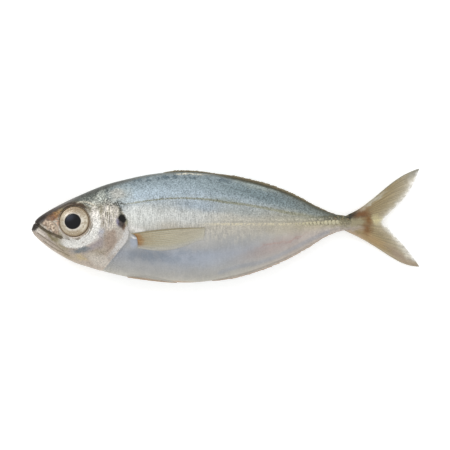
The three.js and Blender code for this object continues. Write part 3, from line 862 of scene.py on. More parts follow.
# %% Layers of the trunk
def trunk_layers(tree, marks, along, bent, noises):
    """Yields what is painted on the trunk, from soft patches to crisp lines, as masks and colours."""
    coarse, fine, mottle = noises["coarse"], noises["fine"], noises["mottle"]
    yield from patches_on(tree, bent, TRUNK_PATCHES)
    yield from flecks_on(tree, bent, noises, TRUNK_FLECKS)

    rear_line = overlap(tree, between(tree, along, 66.0, 82.0), between(tree, along, 131.0, 120.0))
    off_line = shaken(tree, marks["lateral"], fine, 0.25)
    gold = overlap(tree, line(tree, off_line, 0.2, 0.6, 0.7), between(tree, mottle, 0.38, 0.54))
    yield overlap(tree, gold, rear_line), "#d5cbae"
    shade = line(tree, reckon(tree, off_line, ("ADD", -0.95)), 0.1, 0.5, 0.25)
    yield overlap(tree, shade, rear_line), "#979288"
    pale = overlap(tree, line(tree, reckon(tree, off_line, ("ADD", -1.8)), 0.1, 0.5, 0.6),
                   between(tree, mottle, 0.45, 0.6))
    yield overlap(tree, pale, rear_line), "#cfcbb9"

    spot = put(tree, "ShaderNodeCombineXYZ", {"X": along})
    dashes = put(tree, "ShaderNodeTexNoise", {"Vector": spot, "Scale": 1.9, "Detail": 1.0})
    width = put(tree, "ShaderNodeMapRange", {"Value": along, "From Min": 60.0, "From Max": 100.0,
                                             "To Min": 0.1, "To Max": 0.4})
    off_stripe = reckon(tree, shaken(tree, marks["stripe"], fine, 0.6), ("ABSOLUTE",), ("SUBTRACT", width))
    stripe = overlap(tree, between(tree, off_stripe, 0.4, 0.0), between(tree, along, 34.0, 44.0),
                     between(tree, along, 124.0, 104.0))
    yield overlap(tree, stripe, 0.65), "#89876d"
    yield overlap(tree, stripe, between(tree, dashes, 0.46, 0.56),
                  between(tree, along, 100.0, 70.0, 0.5)), "#5f5f48"

    # painted shade along the groove of the belly's rear fin
    yield line(tree, shaken(tree, marks["anal_groove"], coarse, 0.3), 0.2, 1.2, 0.45), "#979ba4"
    yield overlap(tree, between(tree, marks["over_keel"], 1.0, 0.2, 0.7), between(tree, along, 38.0, 46.0),
                  between(tree, along, 70.0, 60.0)), "#b2957b"  # tan along the keel


# %% [markdown]
# Last, head and trunk are joined at the gill cover's edge, but blend over the nape, where there is no edge.
# Over both run the dark back, the pale rim of its fin's groove, the black spot and the dark jaw tips.

# %% The skin's material
NAPE_MARKS = [("#a4a199", 0.7, (35.2, 12.9), (2.8, 2.2), 10, 0.6)]  # where the head blends into the trunk
NAPE_FLECKS = [
    ("mottle", 0.49, ("#3a3c34", 0.9, (34.6, 8.8), (4.0, 1.4), -12, 0.5)),
    ("blotch", 0.46, ("#3f4037", 0.85, (36.8, 6.1), (1.1, 1.9), 5, 0.6)),
]
LAST_MARKS = [
    ("#1b0f07", 0.95, (3.7, 2.0), (3.0, 1.4), 40, 0.5),  # dark tips of both jaws
    ("#1d140e", 0.95, (1.7, -0.9), (1.9, 1.0), 45, 0.4),
    ("#6f6558", 0.7, (1.9, 0.6), (0.8, 0.2), -25, 0.6),
    ("#74583f", 0.85, (38.2, -0.7), (0.8, 1.6), -10, 0.6),  # the black spot, brown and violet below
    ("#6f6b8a", 0.8, (35.8, 1.2), (0.8, 1.6), 12, 0.7),
    ("#352a26", 0.9, (37.3, 0.5), (1.3, 1.8), 8, 0.5),
    ("#807f57", 0.6, (39.3, 1.2), (0.5, 1.2), 0, 0.8),
    ("#3a3b30", 0.85, (37.0, 5.0), (0.5, 1.4), 14, 0.8),
    ("#100f0a", 1.0, (37.3, 2.9), (1.6, 1.5), -10, 0.3),
    ("#100f0a", 1.0, (38.2, 2.0), (0.9, 1.2), -25, 0.4),
]


def joint_layers(tree, marks, along, flat, bent, body, noises):
    """Yields what lies on the head: the whole trunk, then what runs over both, and last the dark marks."""
    coarse, fine, mottle = noises["coarse"], noises["fine"], noises["mottle"]
    nape = between(tree, marks["rise"], 0.72, 0.8)  # the head ends in a clear edge only below the nape
    blend = reckon(tree, nape, ("MULTIPLY_ADD", 5.0, 0.15))
    behind = reckon(tree, shaken(tree, marks["gill"], coarse, 0.3), ("DIVIDE", blend))
    yield between(tree, behind, -1.0, 1.0), body
    yield from patches_on(tree, bent, NAPE_MARKS)
    yield from flecks_on(tree, bent, noises, NAPE_FLECKS)

    # The gill cover's silver rim, brightened by a painted highlight.
    yield overlap(tree, between(tree, shaken(tree, marks["gill"], fine, 0.8), -3.0, -1.4),
                  between(tree, marks["gill"], 0.6, 0.1), between(tree, marks["rise"], 0.56, 0.46),
                  between(tree, marks["rise"], 0.05, 0.35), between(tree, mottle, 0.3, 0.5)), "#cfccc8"

    edge = shaken(tree, marks["under_back"], coarse, 0.5)
    yield overlap(tree, line(tree, reckon(tree, edge, ("ADD", -1.9)), 0.6, 0.9, 0.85),
                  between(tree, coarse, 0.5, 0.57), between(tree, along, 36.0, 42.0),
                  between(tree, along, 90.0, 74.0)), "#52626a"  # slate blotches under the back
    yield overlap(tree, between(tree, edge, 1.2, 0.2, 0.6), between(tree, along, 76.0, 56.0)), "#5d635f"
    yield overlap(tree, between(tree, edge, 2.6, 0.4, 0.85), between(tree, along, 50.0, 34.0)), "#43443e"
    yield overlap(tree, line(tree, reckon(tree, edge, ("ADD", -0.8)), 0.15, 0.3, 0.8),
                  between(tree, along, 58.0, 61.0), between(tree, along, 76.0, 66.0),
                  between(tree, mottle, 0.36, 0.5)), "#ccc7b6"  # the pale rim of the fin's groove
    yield overlap(tree, between(tree, edge, 1.2, 0.4), between(tree, along, 72.0, 80.0, 0.95),
                  between(tree, along, 132.0, 122.0)), "#454739"
    yield overlap(tree, between(tree, edge, 2.0, 1.2), between(tree, along, 22.0, 9.0)), "#3d322a"
    yield from patches_on(tree, bent_by(tree, flat, fine, 0.45), LAST_MARKS)


def skin_finish():
    """Wet silver skin: guanine under clear scales gives it half a metal's sheen, and wetness a coat."""
    material, tree, shader = new_material("raw_scad_skin_wet", roughness=0.4, coat=0.15, coat_roughness=0.2,
                                          specular=0.25)
    at, flat = fish_coordinates(tree)
    along = put(tree, "ShaderNodeSeparateXYZ", {0: at}).outputs["X"]
    marks = {name: put(tree, "ShaderNodeAttribute", attribute_name=name).outputs["Fac"]
             for name in skin_values}
    noises = {name: noise(tree, at, *sizes) for name, sizes in NOISES.items()}
    coarse, grain, cloud = [noises[name] for name in ("coarse", "grain", "cloud")]
    bent = bent_by(tree, flat, coarse, 1.6)

    rise = shaken(tree, marks["rise"], coarse, 0.03)
    trunk_tone, stalk_tone, head_tone = [put(tree, "ShaderNodeValToRGB", {0: rise}, stops=stops)
                                         for stops in (TRUNK_GROUND, STALK_GROUND, HEAD_GROUND)]
    on_stalk = between(tree, shaken(tree, along, coarse, 6.0), 80.0, 122.0)
    body = layered(tree, trunk_tone, [(on_stalk, stalk_tone)])
    body = layered(tree, body, trunk_layers(tree, marks, along, bent, noises))
    head = layered(tree, head_tone, head_layers(tree, marks, bent, noises))
    colour = layered(tree, head, joint_layers(tree, marks, along, flat, bent, body, noises))

    more_above = put(tree, "ShaderNodeMapRange", {"Value": marks["rise"], "From Min": 0.35, "From Max": 0.8,
                                                  "To Min": 0.4, "To Max": 2.1})
    busier = reckon(tree, between(tree, along, 42.0, 30.0), ("MULTIPLY_ADD", 0.9, more_above))
    shade = 1.0
    for pattern, share in (
        (grain, busier),
        (noises["mottle"], between(tree, along, 104.0, 126.0, 1.0)),
        (noises["blotch"], between(tree, marks["rise"], 0.6, 0.8, 0.5)),
        (noises["fine"], overlap(tree, between(tree, marks["rise"], 0.5, 0.75),
                                 between(tree, along, 76.0, 100.0, 0.9))),
        (noise(tree, at, 1.0, squeeze=(2, 0.3, 0.6)),
         patch(tree, bent, (58.0, 4.0), (26.0, 7.0), -4, 0.4, 0.9)),
        (cloud, 0.35),
        (noises["streak"], 0.15),
    ):
        shade = reckon(tree, pattern, ("ADD", -0.5), ("MULTIPLY_ADD", share, shade))
    colour = put(tree, "ShaderNodeVectorMath", {0: colour, "Scale": shade}, operation="SCALE")
    feed(tree, shader, "Base Color", colour)
    feed(tree, shader, "Metallic", put(tree, "ShaderNodeMapRange", {
        "Value": cloud, "From Min": 0.3, "From Max": 0.7, "To Min": 0.22, "To Max": 0.42}))
    feed(tree, shader, "Roughness", put(tree, "ShaderNodeMapRange", {
        "Value": grain, "From Min": 0.3, "From Max": 0.7, "To Min": 0.34, "To Max": 0.48}))

    scales = put(tree, "ShaderNodeTexVoronoi", {"Vector": at, "Scale": 0.95})
    pits = {"Height": scales, "Strength": 0.25, "Distance": 0.05 * MM}
    pitted = put(tree, "ShaderNodeBump", pits, invert=True)
    wavy = {"Height": grain, "Strength": 0.3, "Distance": 0.08 * MM, "Normal": pitted}
    feed(tree, shader, "Normal", put(tree, "ShaderNodeBump", wavy))
    return material


stored = {key: on_points(values) for key, values in skin_values.items()}
skin_mesh = new_mesh("fish_skin", laid_skin, skin_faces, stored)
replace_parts(new_piece("fish_skin", skin_mesh, "skin", skin_finish()), "fish")

# %% [markdown]
# ## Eyes
# A fish's eye has no lids: a clear cornea bulges over a pale iris, and the round lens stands through the
# pupil. Each eye is built like a bowl, with the iris a little hollow and the pupil domed, and a thin
# raised ring between them. Its points keep how far out they are, so that the colours can follow the rings.

# %% The eyeballs
EYE_BULGE, EYE_DEPTH, EYE_BACK = 1.2, 2.4, 0.72
PUPIL_RADIUS = 3.15
PUPIL_LEAN = -1.0  # how far the middle of its rings lies off the middle of its rim
PUPIL_OVAL = 0.12  # and how much longer than high they are there
EYE_STEPS, EYE_BACK_STEPS, EYE_SIDES = 44, 10, 112


def eye_front(reach):
    """Height of the eye's front over the plane of its rim."""
    dome = EYE_BULGE * np.sqrt(np.maximum(1 - (reach / EYE_RADIUS) ** 2, 0))
    iris = 0.22 * smooth(PUPIL_RADIUS - 0.3, PUPIL_RADIUS + 0.35, reach) * smooth(EYE_RADIUS, 4.6, reach)
    return dome - iris + 0.08 * hump(reach - PUPIL_RADIUS - 0.45, 0.25)


def eyeball(hand):
    """Rings of an eye, from the middle of its front over its rim to its back, and how far out each lies."""
    front = np.linspace(0, math.pi / 2, EYE_STEPS)
    front_reach = EYE_RADIUS * np.sin(front)
    back = np.linspace(0, math.pi / 2, EYE_BACK_STEPS)[1:]
    reach = np.concatenate([front_reach, EYE_RADIUS * (EYE_BACK + (1 - EYE_BACK) * np.cos(back))])
    height = np.concatenate([eye_front(front_reach), -EYE_DEPTH * np.sin(back)])
    around = np.linspace(0, 2 * math.pi, EYE_SIDES, endpoint=False)
    inner = np.maximum(1 - reach / EYE_RADIUS, 0)[:, None] * (height[:, None] > 0)
    x, y = reach[:, None] * np.cos(around) * (1 + PUPIL_OVAL * inner), reach[:, None] * np.sin(around)
    x = x + PUPIL_LEAN * inner
    wave = 0.02 * np.sin(9 * around + 1) * np.sin(5 * around) * smooth(3.6, 4.6, reach)[:, None]
    points = np.stack([x, y, height[:, None] + wave * (height[:, None] > 0)], -1) @ np.array(facing).T
    points += (*EYE, eye_rim)
    points[..., 2] *= hand
    return points, np.broadcast_to(reach[:, None], x.shape)


# %% [markdown]
# The wet cornea is a glossy coat on the eye. Below it the iris is cream, like mother of pearl, with a pale
# ring round a pupil that is black because the eye behind it is dark and empty. A dim reflection of daylight
# is painted into the pupil's upper front.

# %% The eyes' material
IRIS = [
    (0, "#0c0b0f"), (0.5, "#0a090b"), (0.53, "#7a7166"), (0.555, "#dfd8cc"), (0.63, "#d3cbbd"),
    (0.7, "#b8ac97"), (0.86, "#b3a68f"), (0.93, "#9d8c73"), (0.98, "#8a765b"), (1, "#7c664c"),
]
IRIS_PATCHES = [
    ("#7f6b55", 0.85, (17.2, 6.8), (5.2, 2.2), -8, 0.7),  # browner above and below, greyer in front
    ("#9c876a", 0.6, (18.5, -3.9), (4.4, 1.4), 0, 0.8),
    ("#a19988", 0.6, (13.2, 1.2), (1.3, 3.4), 0, 0.8),
    # painted light: the rear of the iris lighter, where the light falls on it
    ("#e2dac9", 0.75, (22.3, 0.8), (1.4, 3.4), -8, 0.8),
]
PUPIL_PAINTED_REFLECTION = ("#383c48", 0.7, (15.7, 3.2), (1.6, 1.1), 20, 1.0)  # painted reflection of dim daylight on the lens


def eye_finish():
    """Wet eyeball: a clear cornea gives it its gloss, over a pearly iris and a black pupil."""
    material, tree, shader = new_material("fish_eye_wet_cornea", roughness=0.42, coat=0.3,
                                          coat_roughness=0.06, specular=0.1)
    at, flat = fish_coordinates(tree)
    reach = put(tree, "ShaderNodeAttribute", attribute_name="reach").outputs["Fac"]
    mottle, fleck = noise(tree, at, 1.3, 3.0), noise(tree, at, 3.0)
    ring = reckon(tree, shaken(tree, reach, mottle, 0.12), ("DIVIDE", EYE_RADIUS))
    iris = put(tree, "ShaderNodeValToRGB", {0: ring}, stops=IRIS)
    on_iris = overlap(tree, between(tree, ring, 0.53, 0.6), between(tree, ring, 1.0, 0.85))
    layers = [(overlap(tree, mask, on_iris), code) for mask, code in patches_on(tree, flat, IRIS_PATCHES)]
    [(painted_reflection, reflection_tone)] = patches_on(tree, flat, [PUPIL_PAINTED_REFLECTION])
    layers += [
        (overlap(tree, between(tree, mottle, 0.5, 0.6), on_iris, 0.8), "#9d8c74"),
        (overlap(tree, between(tree, fleck, 0.55, 0.65), on_iris, 0.8), "#cfc6b3"),
        (overlap(tree, painted_reflection, between(tree, ring, 0.5, 0.42)), reflection_tone),
    ]
    feed(tree, shader, "Base Color", layered(tree, iris, layers))
    feed(tree, shader, "Metallic", between(tree, ring, 0.52, 0.6, 0.2))
    relief = {"Height": fleck, "Strength": 0.15, "Distance": 0.05 * MM}
    feed(tree, shader, "Normal", put(tree, "ShaderNodeBump", relief))
    return material


cornea = eye_finish()
for side, hand in (("left", 1), ("right", -1)):
    points, reach = eyeball(hand)
    eye_ids = np.arange(reach.size).reshape(reach.shape)
    eye_faces = ring_faces(eye_ids) + [eye_ids[-1].tolist()]
    eye_mesh = new_mesh(f"eye_{side}_ball", laid_down(points.reshape(-1, 3)), eye_faces, {"reach": reach})
    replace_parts(new_piece(f"eye_{side}_ball", eye_mesh, "eye", cornea), f"eye_{side}")

# %% [markdown]
# ## Fins
# A fin is a thin skin stretched over bony rays. Each is made of two pieces: a closed membrane, and the rays
# that stand proud of it. Both follow one rule, place(across, along, side): across counts over the rays,
# along goes from root to tip, and side is the face, -1, 0 or 1. The rays are grown by Geometry Nodes on
# the same rule, because there are many of them and they all branch the same way.

# %% Grids over a fin
def fin_grid(place, steps, side):
    """A fin's sheet on one side, as points, and across and along at each."""
    shares = [np.linspace(0, 1, count + 1) for count in steps]
    across, along = np.meshgrid(*shares, indexing="ij")
    return laid_down(place(across, along, side)), across, along


def quads_of(ids):
    """Quads over a grid of point numbers."""
    return np.stack([ids[:-1, :-1], ids[1:, :-1], ids[1:, 1:], ids[:-1, 1:]], -1).reshape(-1, 4).tolist()


def membrane(name, place, steps, material):
    """A fin's closed skin: its two sides, joined round the rim."""
    front, across, along = fin_grid(place, steps, 1)
    back = fin_grid(place, steps, -1)[0]
    ids = np.arange(across.size).reshape(across.shape)
    rim = np.concatenate([ids[:-1, 0], ids[-1, :-1], ids[:0:-1, -1], ids[0, :0:-1]]).tolist()
    faces = quads_of(ids) + quads_of(ids + ids.size)
    faces += [(a, b, b + ids.size, a + ids.size) for a, b in zip(rim, rim[1:] + rim[:1])]
    points = np.concatenate([front.reshape(-1, 3), back.reshape(-1, 3)])
    values = {"across": np.tile(across.ravel(), 2), "along": np.tile(along.ravel(), 2)}
    new_piece(name, new_mesh(name, points, faces, values), "fin", material)


# %% [markdown]
# ### A tree that grows rays
# The tree is given a fin's sheet. It lays out a row of strands in the sheet's own coordinates, four to a
# ray, lets them part in pairs as a real ray branches, and then looks up where each point of a strand lies on
# the sheet. Turned into thin tapering tubes, they are rays that follow the fin wherever it bends.

# %% The tree for rays
STRANDS = 4  # strands to a ray: it branches twice
TOUCHING = 0.12  # how far apart a ray's strands already are at its root
NEAR_RIM, FAR_RIM = 0.002, 0.998  # strands keep this much inside the sheet, where the look-up finds them


def new_tree(name, inputs):
    """A Geometry Nodes tree that takes a geometry and named inputs, and its input node's sockets."""
    tree = bpy.data.node_groups.new(name, "GeometryNodeTree")
    tree.interface.new_socket("Geometry", in_out="INPUT", socket_type="NodeSocketGeometry")
    tree.interface.new_socket("Geometry", in_out="OUTPUT", socket_type="NodeSocketGeometry")
    for label, kind in inputs:
        tree.interface.new_socket(label, in_out="INPUT", socket_type="NodeSocket" + kind)
    return tree, put(tree, "NodeGroupInput").outputs


def finished(tree, geometry, material):
    """Ends a tree: instances realized, faces smooth, material set."""
    real = put(tree, "GeometryNodeRealizeInstances", {"Geometry": geometry})
    even = put(tree, "GeometryNodeSetShadeSmooth", {"Geometry": real})
    coated = put(tree, "GeometryNodeSetMaterial", {"Geometry": even, "Material": material})
    put(tree, "NodeGroupOutput", {"Geometry": coated})


def strand_coordinates(tree, given):
    """Where on the sheet a point of the laid-out strands belongs: across it and along it."""
    spot = put(tree, "ShaderNodeSeparateXYZ", {0: put(tree, "GeometryNodeInputPosition")})
    along = spot.outputs["Y"]
    number = reckon(tree, spot.outputs["X"], ("ADD", 0.5), ("FLOOR",))
    ray = reckon(tree, number, ("DIVIDE", STRANDS), ("FLOOR",))
    pair = reckon(tree, number, ("DIVIDE", 2), ("FLOOR",), ("MODULO", 2), ("SUBTRACT", 0.5))
    twin = reckon(tree, number, ("MODULO", 2), ("SUBTRACT", 0.5))
    second_branch = reckon(tree, given["First branch"], ("MULTIPLY_ADD", 0.5, 0.5))
    off = 0.5
    for part, start, gap in ((pair, given["First branch"], 0.5), (twin, second_branch, 0.25)):
        ends = {"Value": along, "From Min": start, "From Max": 1.0, "To Min": TOUCHING, "To Max": 1.0}
        parted = put(tree, "ShaderNodeMapRange", ends, interpolation_type="SMOOTHSTEP")
        off = reckon(tree, part, ("MULTIPLY", parted), ("MULTIPLY_ADD", gap, off))
    across = reckon(tree, ray, ("ADD", off), ("DIVIDE", given["Rays"]))
    across = reckon(tree, along, ("MULTIPLY_ADD", given["Slant"], across), ("MAXIMUM", NEAR_RIM),
                    ("MINIMUM", FAR_RIM))
    order = put(tree, "FunctionNodeFloatToInt", {0: number})
    draw = {"Min": given["Shortest"], "Max": FAR_RIM, "ID": order, "Seed": given["Seed"]}
    length = put(tree, "FunctionNodeRandomValue", draw)
    return across, reckon(tree, along, ("MULTIPLY", length), ("MAXIMUM", NEAR_RIM))


def ray_tree():
    """Rays over a fin's sheet, whose points hold their own across and along."""
    tree, given = new_tree("fin_rays", [
        ("Rays", "Int"), ("Steps", "Int"), ("Root radius", "Float"), ("Tip radius", "Float"),
        ("First branch", "Float"), ("Slant", "Float"), ("Shortest", "Float"), ("Seed", "Int"),
        ("Material", "Material"),
    ])
    strand = put(tree, "GeometryNodeCurvePrimitiveLine", {"End": (0, 1, 0)})
    strand = put(tree, "GeometryNodeResampleCurve", {"Curve": strand, "Count": given["Steps"]})
    count = reckon(tree, given["Rays"], ("MULTIPLY", STRANDS))
    row = put(tree, "GeometryNodeMeshLine", {"Count": count, "Offset": (1, 0, 0)})
    strands = put(tree, "GeometryNodeInstanceOnPoints", {"Points": row, "Instance": strand})
    strands = put(tree, "GeometryNodeRealizeInstances", {"Geometry": strands})
    across, along = strand_coordinates(tree, given)
    for label, value in (("across", across), ("along", along)):
        kept = {"Geometry": strands, "Name": label, "Value": value}
        strands = put(tree, "GeometryNodeStoreNamedAttribute", kept)

    across, along = [put(tree, "GeometryNodeInputNamedAttribute", {"Name": label})
                     for label in ("across", "along")]
    sheet_place = put(tree, "ShaderNodeCombineXYZ", {"X": across, "Y": along})
    looked_up = {"Mesh": given["Geometry"], "Value": put(tree, "GeometryNodeInputPosition"),
                 "UV Map": sheet_place, "Sample UV": sheet_place}
    found = put(tree, "GeometryNodeSampleUVSurface", looked_up, data_type="FLOAT_VECTOR")
    laid = put(tree, "GeometryNodeSetPosition", {"Geometry": strands, "Position": found})
    radius = {"Value": along, "To Min": given["Root radius"], "To Max": given["Tip radius"]}
    section = put(tree, "GeometryNodeCurvePrimitiveCircle", {"Resolution": 5, "Radius": 1.0})
    tubes = put(tree, "GeometryNodeCurveToMesh", {"Curve": laid, "Profile Curve": section, "Fill Caps": True,
                                                  "Scale": put(tree, "ShaderNodeMapRange", radius)})
    finished(tree, tubes, given["Material"])
    return tree


FIN_RAYS = ray_tree()


def grown(name, guide, tree, slot, **sizes):
    """Runs a tree on a guide mesh and keeps the result as a plain piece."""
    maker = bpy.data.objects.new(name, guide)
    bpy.context.scene.collection.objects.link(maker)
    modifier = maker.modifiers.new(tree.name, "NODES")
    modifier.node_group = tree
    for socket in tree.interface.items_tree:
        label = socket.name.lower().replace(" ", "_")
        if label in sizes:
            modifier[socket.identifier] = sizes[label]
    mesh = bpy.data.meshes.new_from_object(maker.evaluated_get(bpy.context.evaluated_depsgraph_get()))
    bpy.data.objects.remove(maker)
    new_piece(name, mesh, slot)


def rays(name, place, sheet, material, **sizes):
    """The rays of a fin, through its middle."""
    points, across, along = fin_grid(place, sheet, 0)
    ids = np.arange(across.size).reshape(across.shape)
    values = {"across": across, "along": along}
    guide = new_mesh(name + "_sheet", points.reshape(-1, 3), quads_of(ids), values)
    grown(name, guide, FIN_RAYS, "fin", material=material, **sizes)


# %% [markdown]
# ### The fins' finish
# Fin skin is thin, tinted tan by the pigment in it, and palest along its free edge, where it is clearest.
# Rays are bone, a little paler, and their finish differs only in its colours, so one function makes
# every fin's.

# %% The fins' material
STREAKS_ACROSS, STREAKS_ALONG = 34.0, 3.5  # about how many grains of noise streak a fin each way


def fin_finish(name, stops, patches=(), sides=(), roughness=0.42):
    """Wet fin: tan pigment in a thin skin. Colours run from root to free edge, with patches over them."""
    material, tree, shader = new_material(name, roughness=roughness, coat=0.15, coat_roughness=0.25)
    at, flat = fish_coordinates(tree)
    coarse, grain = noise(tree, at, 0.6, 3.0), noise(tree, at, 2.4)
    across, along = [put(tree, "ShaderNodeAttribute", attribute_name=key).outputs["Fac"]
                     for key in ("across", "along")]
    on_rays = put(tree, "ShaderNodeCombineXYZ", {"X": reckon(tree, across, ("MULTIPLY", STREAKS_ACROSS)),
                                                 "Y": reckon(tree, along, ("MULTIPLY", STREAKS_ALONG))})
    streak = noise(tree, on_rays, 1.0)
    ground = put(tree, "ShaderNodeValToRGB", {0: shaken(tree, along, coarse, 0.06)}, stops=stops)
    colour = layered(tree, ground, [(between(tree, across, start, end), code) for start, end, code in sides])
    colour = layered(tree, colour, patches_on(tree, bent_by(tree, flat, coarse, 1.3), patches))
    shade = reckon(tree, grain, ("ADD", -0.5), ("MULTIPLY_ADD", 0.6, 1.0))
    shade = reckon(tree, streak, ("ADD", -0.5), ("MULTIPLY_ADD", 0.7, shade))
    colour = put(tree, "ShaderNodeVectorMath", {0: colour, "Scale": shade}, operation="SCALE")
    feed(tree, shader, "Base Color", colour)
    relief = {"Height": grain, "Strength": 0.25, "Distance": 0.05 * MM}
    feed(tree, shader, "Normal", put(tree, "ShaderNodeBump", relief))
    return material


# %% [markdown]
# ### The tail
# The tail's rays fan out from the end of the stalk to a deeply forked edge. The stalk's scaly skin runs out
# onto it in a tongue, so the membrane is thickest there. Its rays end just past the membrane, which leaves
# the soft, slightly ragged edge that a real tail has.

# %% The tail
TAIL_ROOT = (128.0, -1.6, 2.9)  # x, and the heights of its lowest and highest ray
TAIL_FORK = (144.4, 1.3)
UPPER_LOBE = {"tip": UPPER_TIP, "swing": 2.3, "bow": 1.5, "straight": 0.4, "late": 1.2, "dip": 0.75}
LOWER_LOBE = {"tip": LOWER_TIP, "swing": 0.7, "bow": 2.0, "straight": 0.15, "late": 1.9, "dip": 0.0}
TONGUE_X = (126, 130, 132.5, 134.5, 137, 140.5)  # the flesh of the stalk, where it runs out onto the tail
TONGUE_THICK = (1.5, 1.52, 1.35, 1.0, 0.5, 0)  # half its thickness
TONGUE_HIGH = (2.9, 3.0, 2.8, 2.6, 2.2, 1.6)  # half its height
TONGUE_Y = 1.1
TAIL_STEPS = (96, 60)


def tail_place(across, along, side, end=1.0):
    """The rule of the tail. end is where along the rays it stops."""
    along = along * end
    u = 2 * across - 1
    lobe = {key: np.where(u > 0, UPPER_LOBE[key], LOWER_LOBE[key]) for key in UPPER_LOBE}
    reach = np.abs(u) ** 0.92
    swing = lobe["swing"] * np.sin(np.pi * reach**1.4)
    rim_x = TAIL_FORK[0] + (TOTAL_LENGTH - TAIL_FORK[0]) * reach + swing * 0.5
    rim_y = TAIL_FORK[1] + (lobe["tip"] - TAIL_FORK[1]) * reach - swing * 0.8 * np.sign(u)
    root = TAIL_ROOT[1] + across * (TAIL_ROOT[2] - TAIL_ROOT[1])
    outer = np.maximum(along - lobe["straight"], 0) / (1 - lobe["straight"])
    bow = lobe["bow"] * u * np.abs(u) * np.sin(np.pi * outer ** lobe["late"])
    x = TAIL_ROOT[0] + (rim_x - TAIL_ROOT[0]) * along
    y = root + (rim_y - root) * along + bow - lobe["dip"] * u**2 * hump(along - 0.22, 0.14)
    flesh = np.interp(x, TONGUE_X, TONGUE_THICK)
    off_middle = np.abs(y - TONGUE_Y) / np.interp(x, TONGUE_X, TONGUE_HIGH)
    flesh = flesh * np.sqrt(np.maximum(1 - off_middle**2, 0))
    return np.stack([x, y, side * np.hypot(0.09 + 0.3 * (1 - along) ** 2, flesh)], -1)


TAIL_PATCHES = [
    ("#948a6e", 0.95, (131.6, 1.1), (4.6, 2.9), 0, 0.5),  # the stalk's scaly skin, running out in a tongue
    ("#948a6c", 0.9, (134.4, 1.4), (2.6, 1.2), 0, 0.6),
    ("#b0a294", 0.85, (131.5, -1.7), (5.0, 0.9), 4, 0.8),
    ("#86653c", 0.8, (135.9, 6.0), (3.6, 1.4), 32, 0.9),
    ("#575440", 0.85, (130.6, 3.1), (4.6, 0.9), 6, 0.8),  # its dark upper edge
    ("#27210d", 1.0, (131.9, 3.9), (3.8, 1.1), 26, 0.6),
    ("#c2a48a", 0.45, (133.3, -3.7), (4.0, 0.6), -27, 0.9),
    ("#ac8e63", 0.7, (140.5, -6.2), (5.2, 1.6), -32, 0.9),
    ("#c9be90", 0.85, (142.1, 2.0), (2.0, 1.6), 0, 0.9),  # pale yellow in the fork
    ("#6b400e", 0.9, (136.4, 4.5), (3.0, 1.3), 12, 0.9),  # rusty where the rays start
    ("#734c16", 0.95, (139.0, 2.3), (1.2, 2.2), 22, 0.9),
    ("#704816", 0.9, (138.4, -1.7), (1.6, 2.2), 12, 0.9),
    ("#bab4a1", 0.8, (140.7, 9.9), (5.6, 0.75), 36, 0.8),  # greyish first ray above
    ("#79766a", 0.6, (157.6, 21.6), (3.4, 1.0), 42, 1.0),
    ("#9a8475", 0.6, (151.5, -12.6), (5.5, 1.3), -40, 1.0),
    ("#9b8b78", 0.7, (157.8, -16.2), (2.6, 1.0), -32, 0.9),
]
tail_skin = fin_finish("tail_fin_membrane", [
    (0, "#8f856e"), (0.3, "#84734f"), (0.6, "#8e7d59"), (0.85, "#a0947a"), (0.95, "#c9c2b2"), (1, "#f6f3ee"),
], TAIL_PATCHES, [(0.975, 0.995, "#7d7a6a"), (0.08, 0.03, "#a8997d")])
tail_bone = fin_finish("tail_fin_rays_bone", [
    (0, "#8f8164"), (0.35, "#97835e"), (0.7, "#a3926e"), (0.88, "#b5aa92"), (0.96, "#dcd7cb"), (1, "#f8f5f0"),
], TAIL_PATCHES, [(0.08, 0.03, "#ab9c81")])
membrane("tail_membrane", lambda a, b, s: tail_place(a, b, s, 0.997), TAIL_STEPS, tail_skin)
rays("tail_rays", tail_place, TAIL_STEPS, tail_bone, rays=22, steps=26, root_radius=0.3 * MM,
     tip_radius=0.12 * MM, first_branch=0.3, slant=0.0, shortest=0.99, seed=3)

# %% [markdown]
# ### Fins folded along the back and the belly
# A dead fish's back and belly fins lie folded in their grooves, as low dark or pale strips on the outline.
# Their rays slant far back, each one lying on the next, so the tree's slant is large here.

# %% Back and belly fins
STRIP_BURIED = 1.2  # how deep the root of such a fin sits in the trunk
STRIP_HALF = (0.3, 0.14)  # half its thickness at the root and at the free edge
STRIP_STEPS = (120, 5)
STRIPS = {
    "dorsal_front": {"x": (54, 81), "line": back_at, "out": 1, "reach": 0.8, "rays": 10, "thick": 0.4},
    "dorsal_rear": {"x": (75, 125), "line": back_at, "out": 1, "reach": 1.2, "rays": 26, "thick": 0.4},
    "anal": {"x": (74, 125.5), "line": belly_at, "out": -1, "reach": 1.2, "rays": 24, "thick": 0.26},
}


def strip_place(strip, end=1.0):
    """The rule of a fin that lies folded along an outline."""
    x0, x1 = strip["x"]

    def place(across, along, side):
        x = x0 + across * (x1 - x0)
        rise = strip["reach"] * np.sin(np.pi * across**0.7) ** 0.6
        y = strip["line"](x) + strip["out"] * (along * end * (STRIP_BURIED + rise) - STRIP_BURIED)
        half = STRIP_HALF[0] + (STRIP_HALF[1] - STRIP_HALF[0]) * along
        return np.stack([x, y, side * half], -1)

    return place


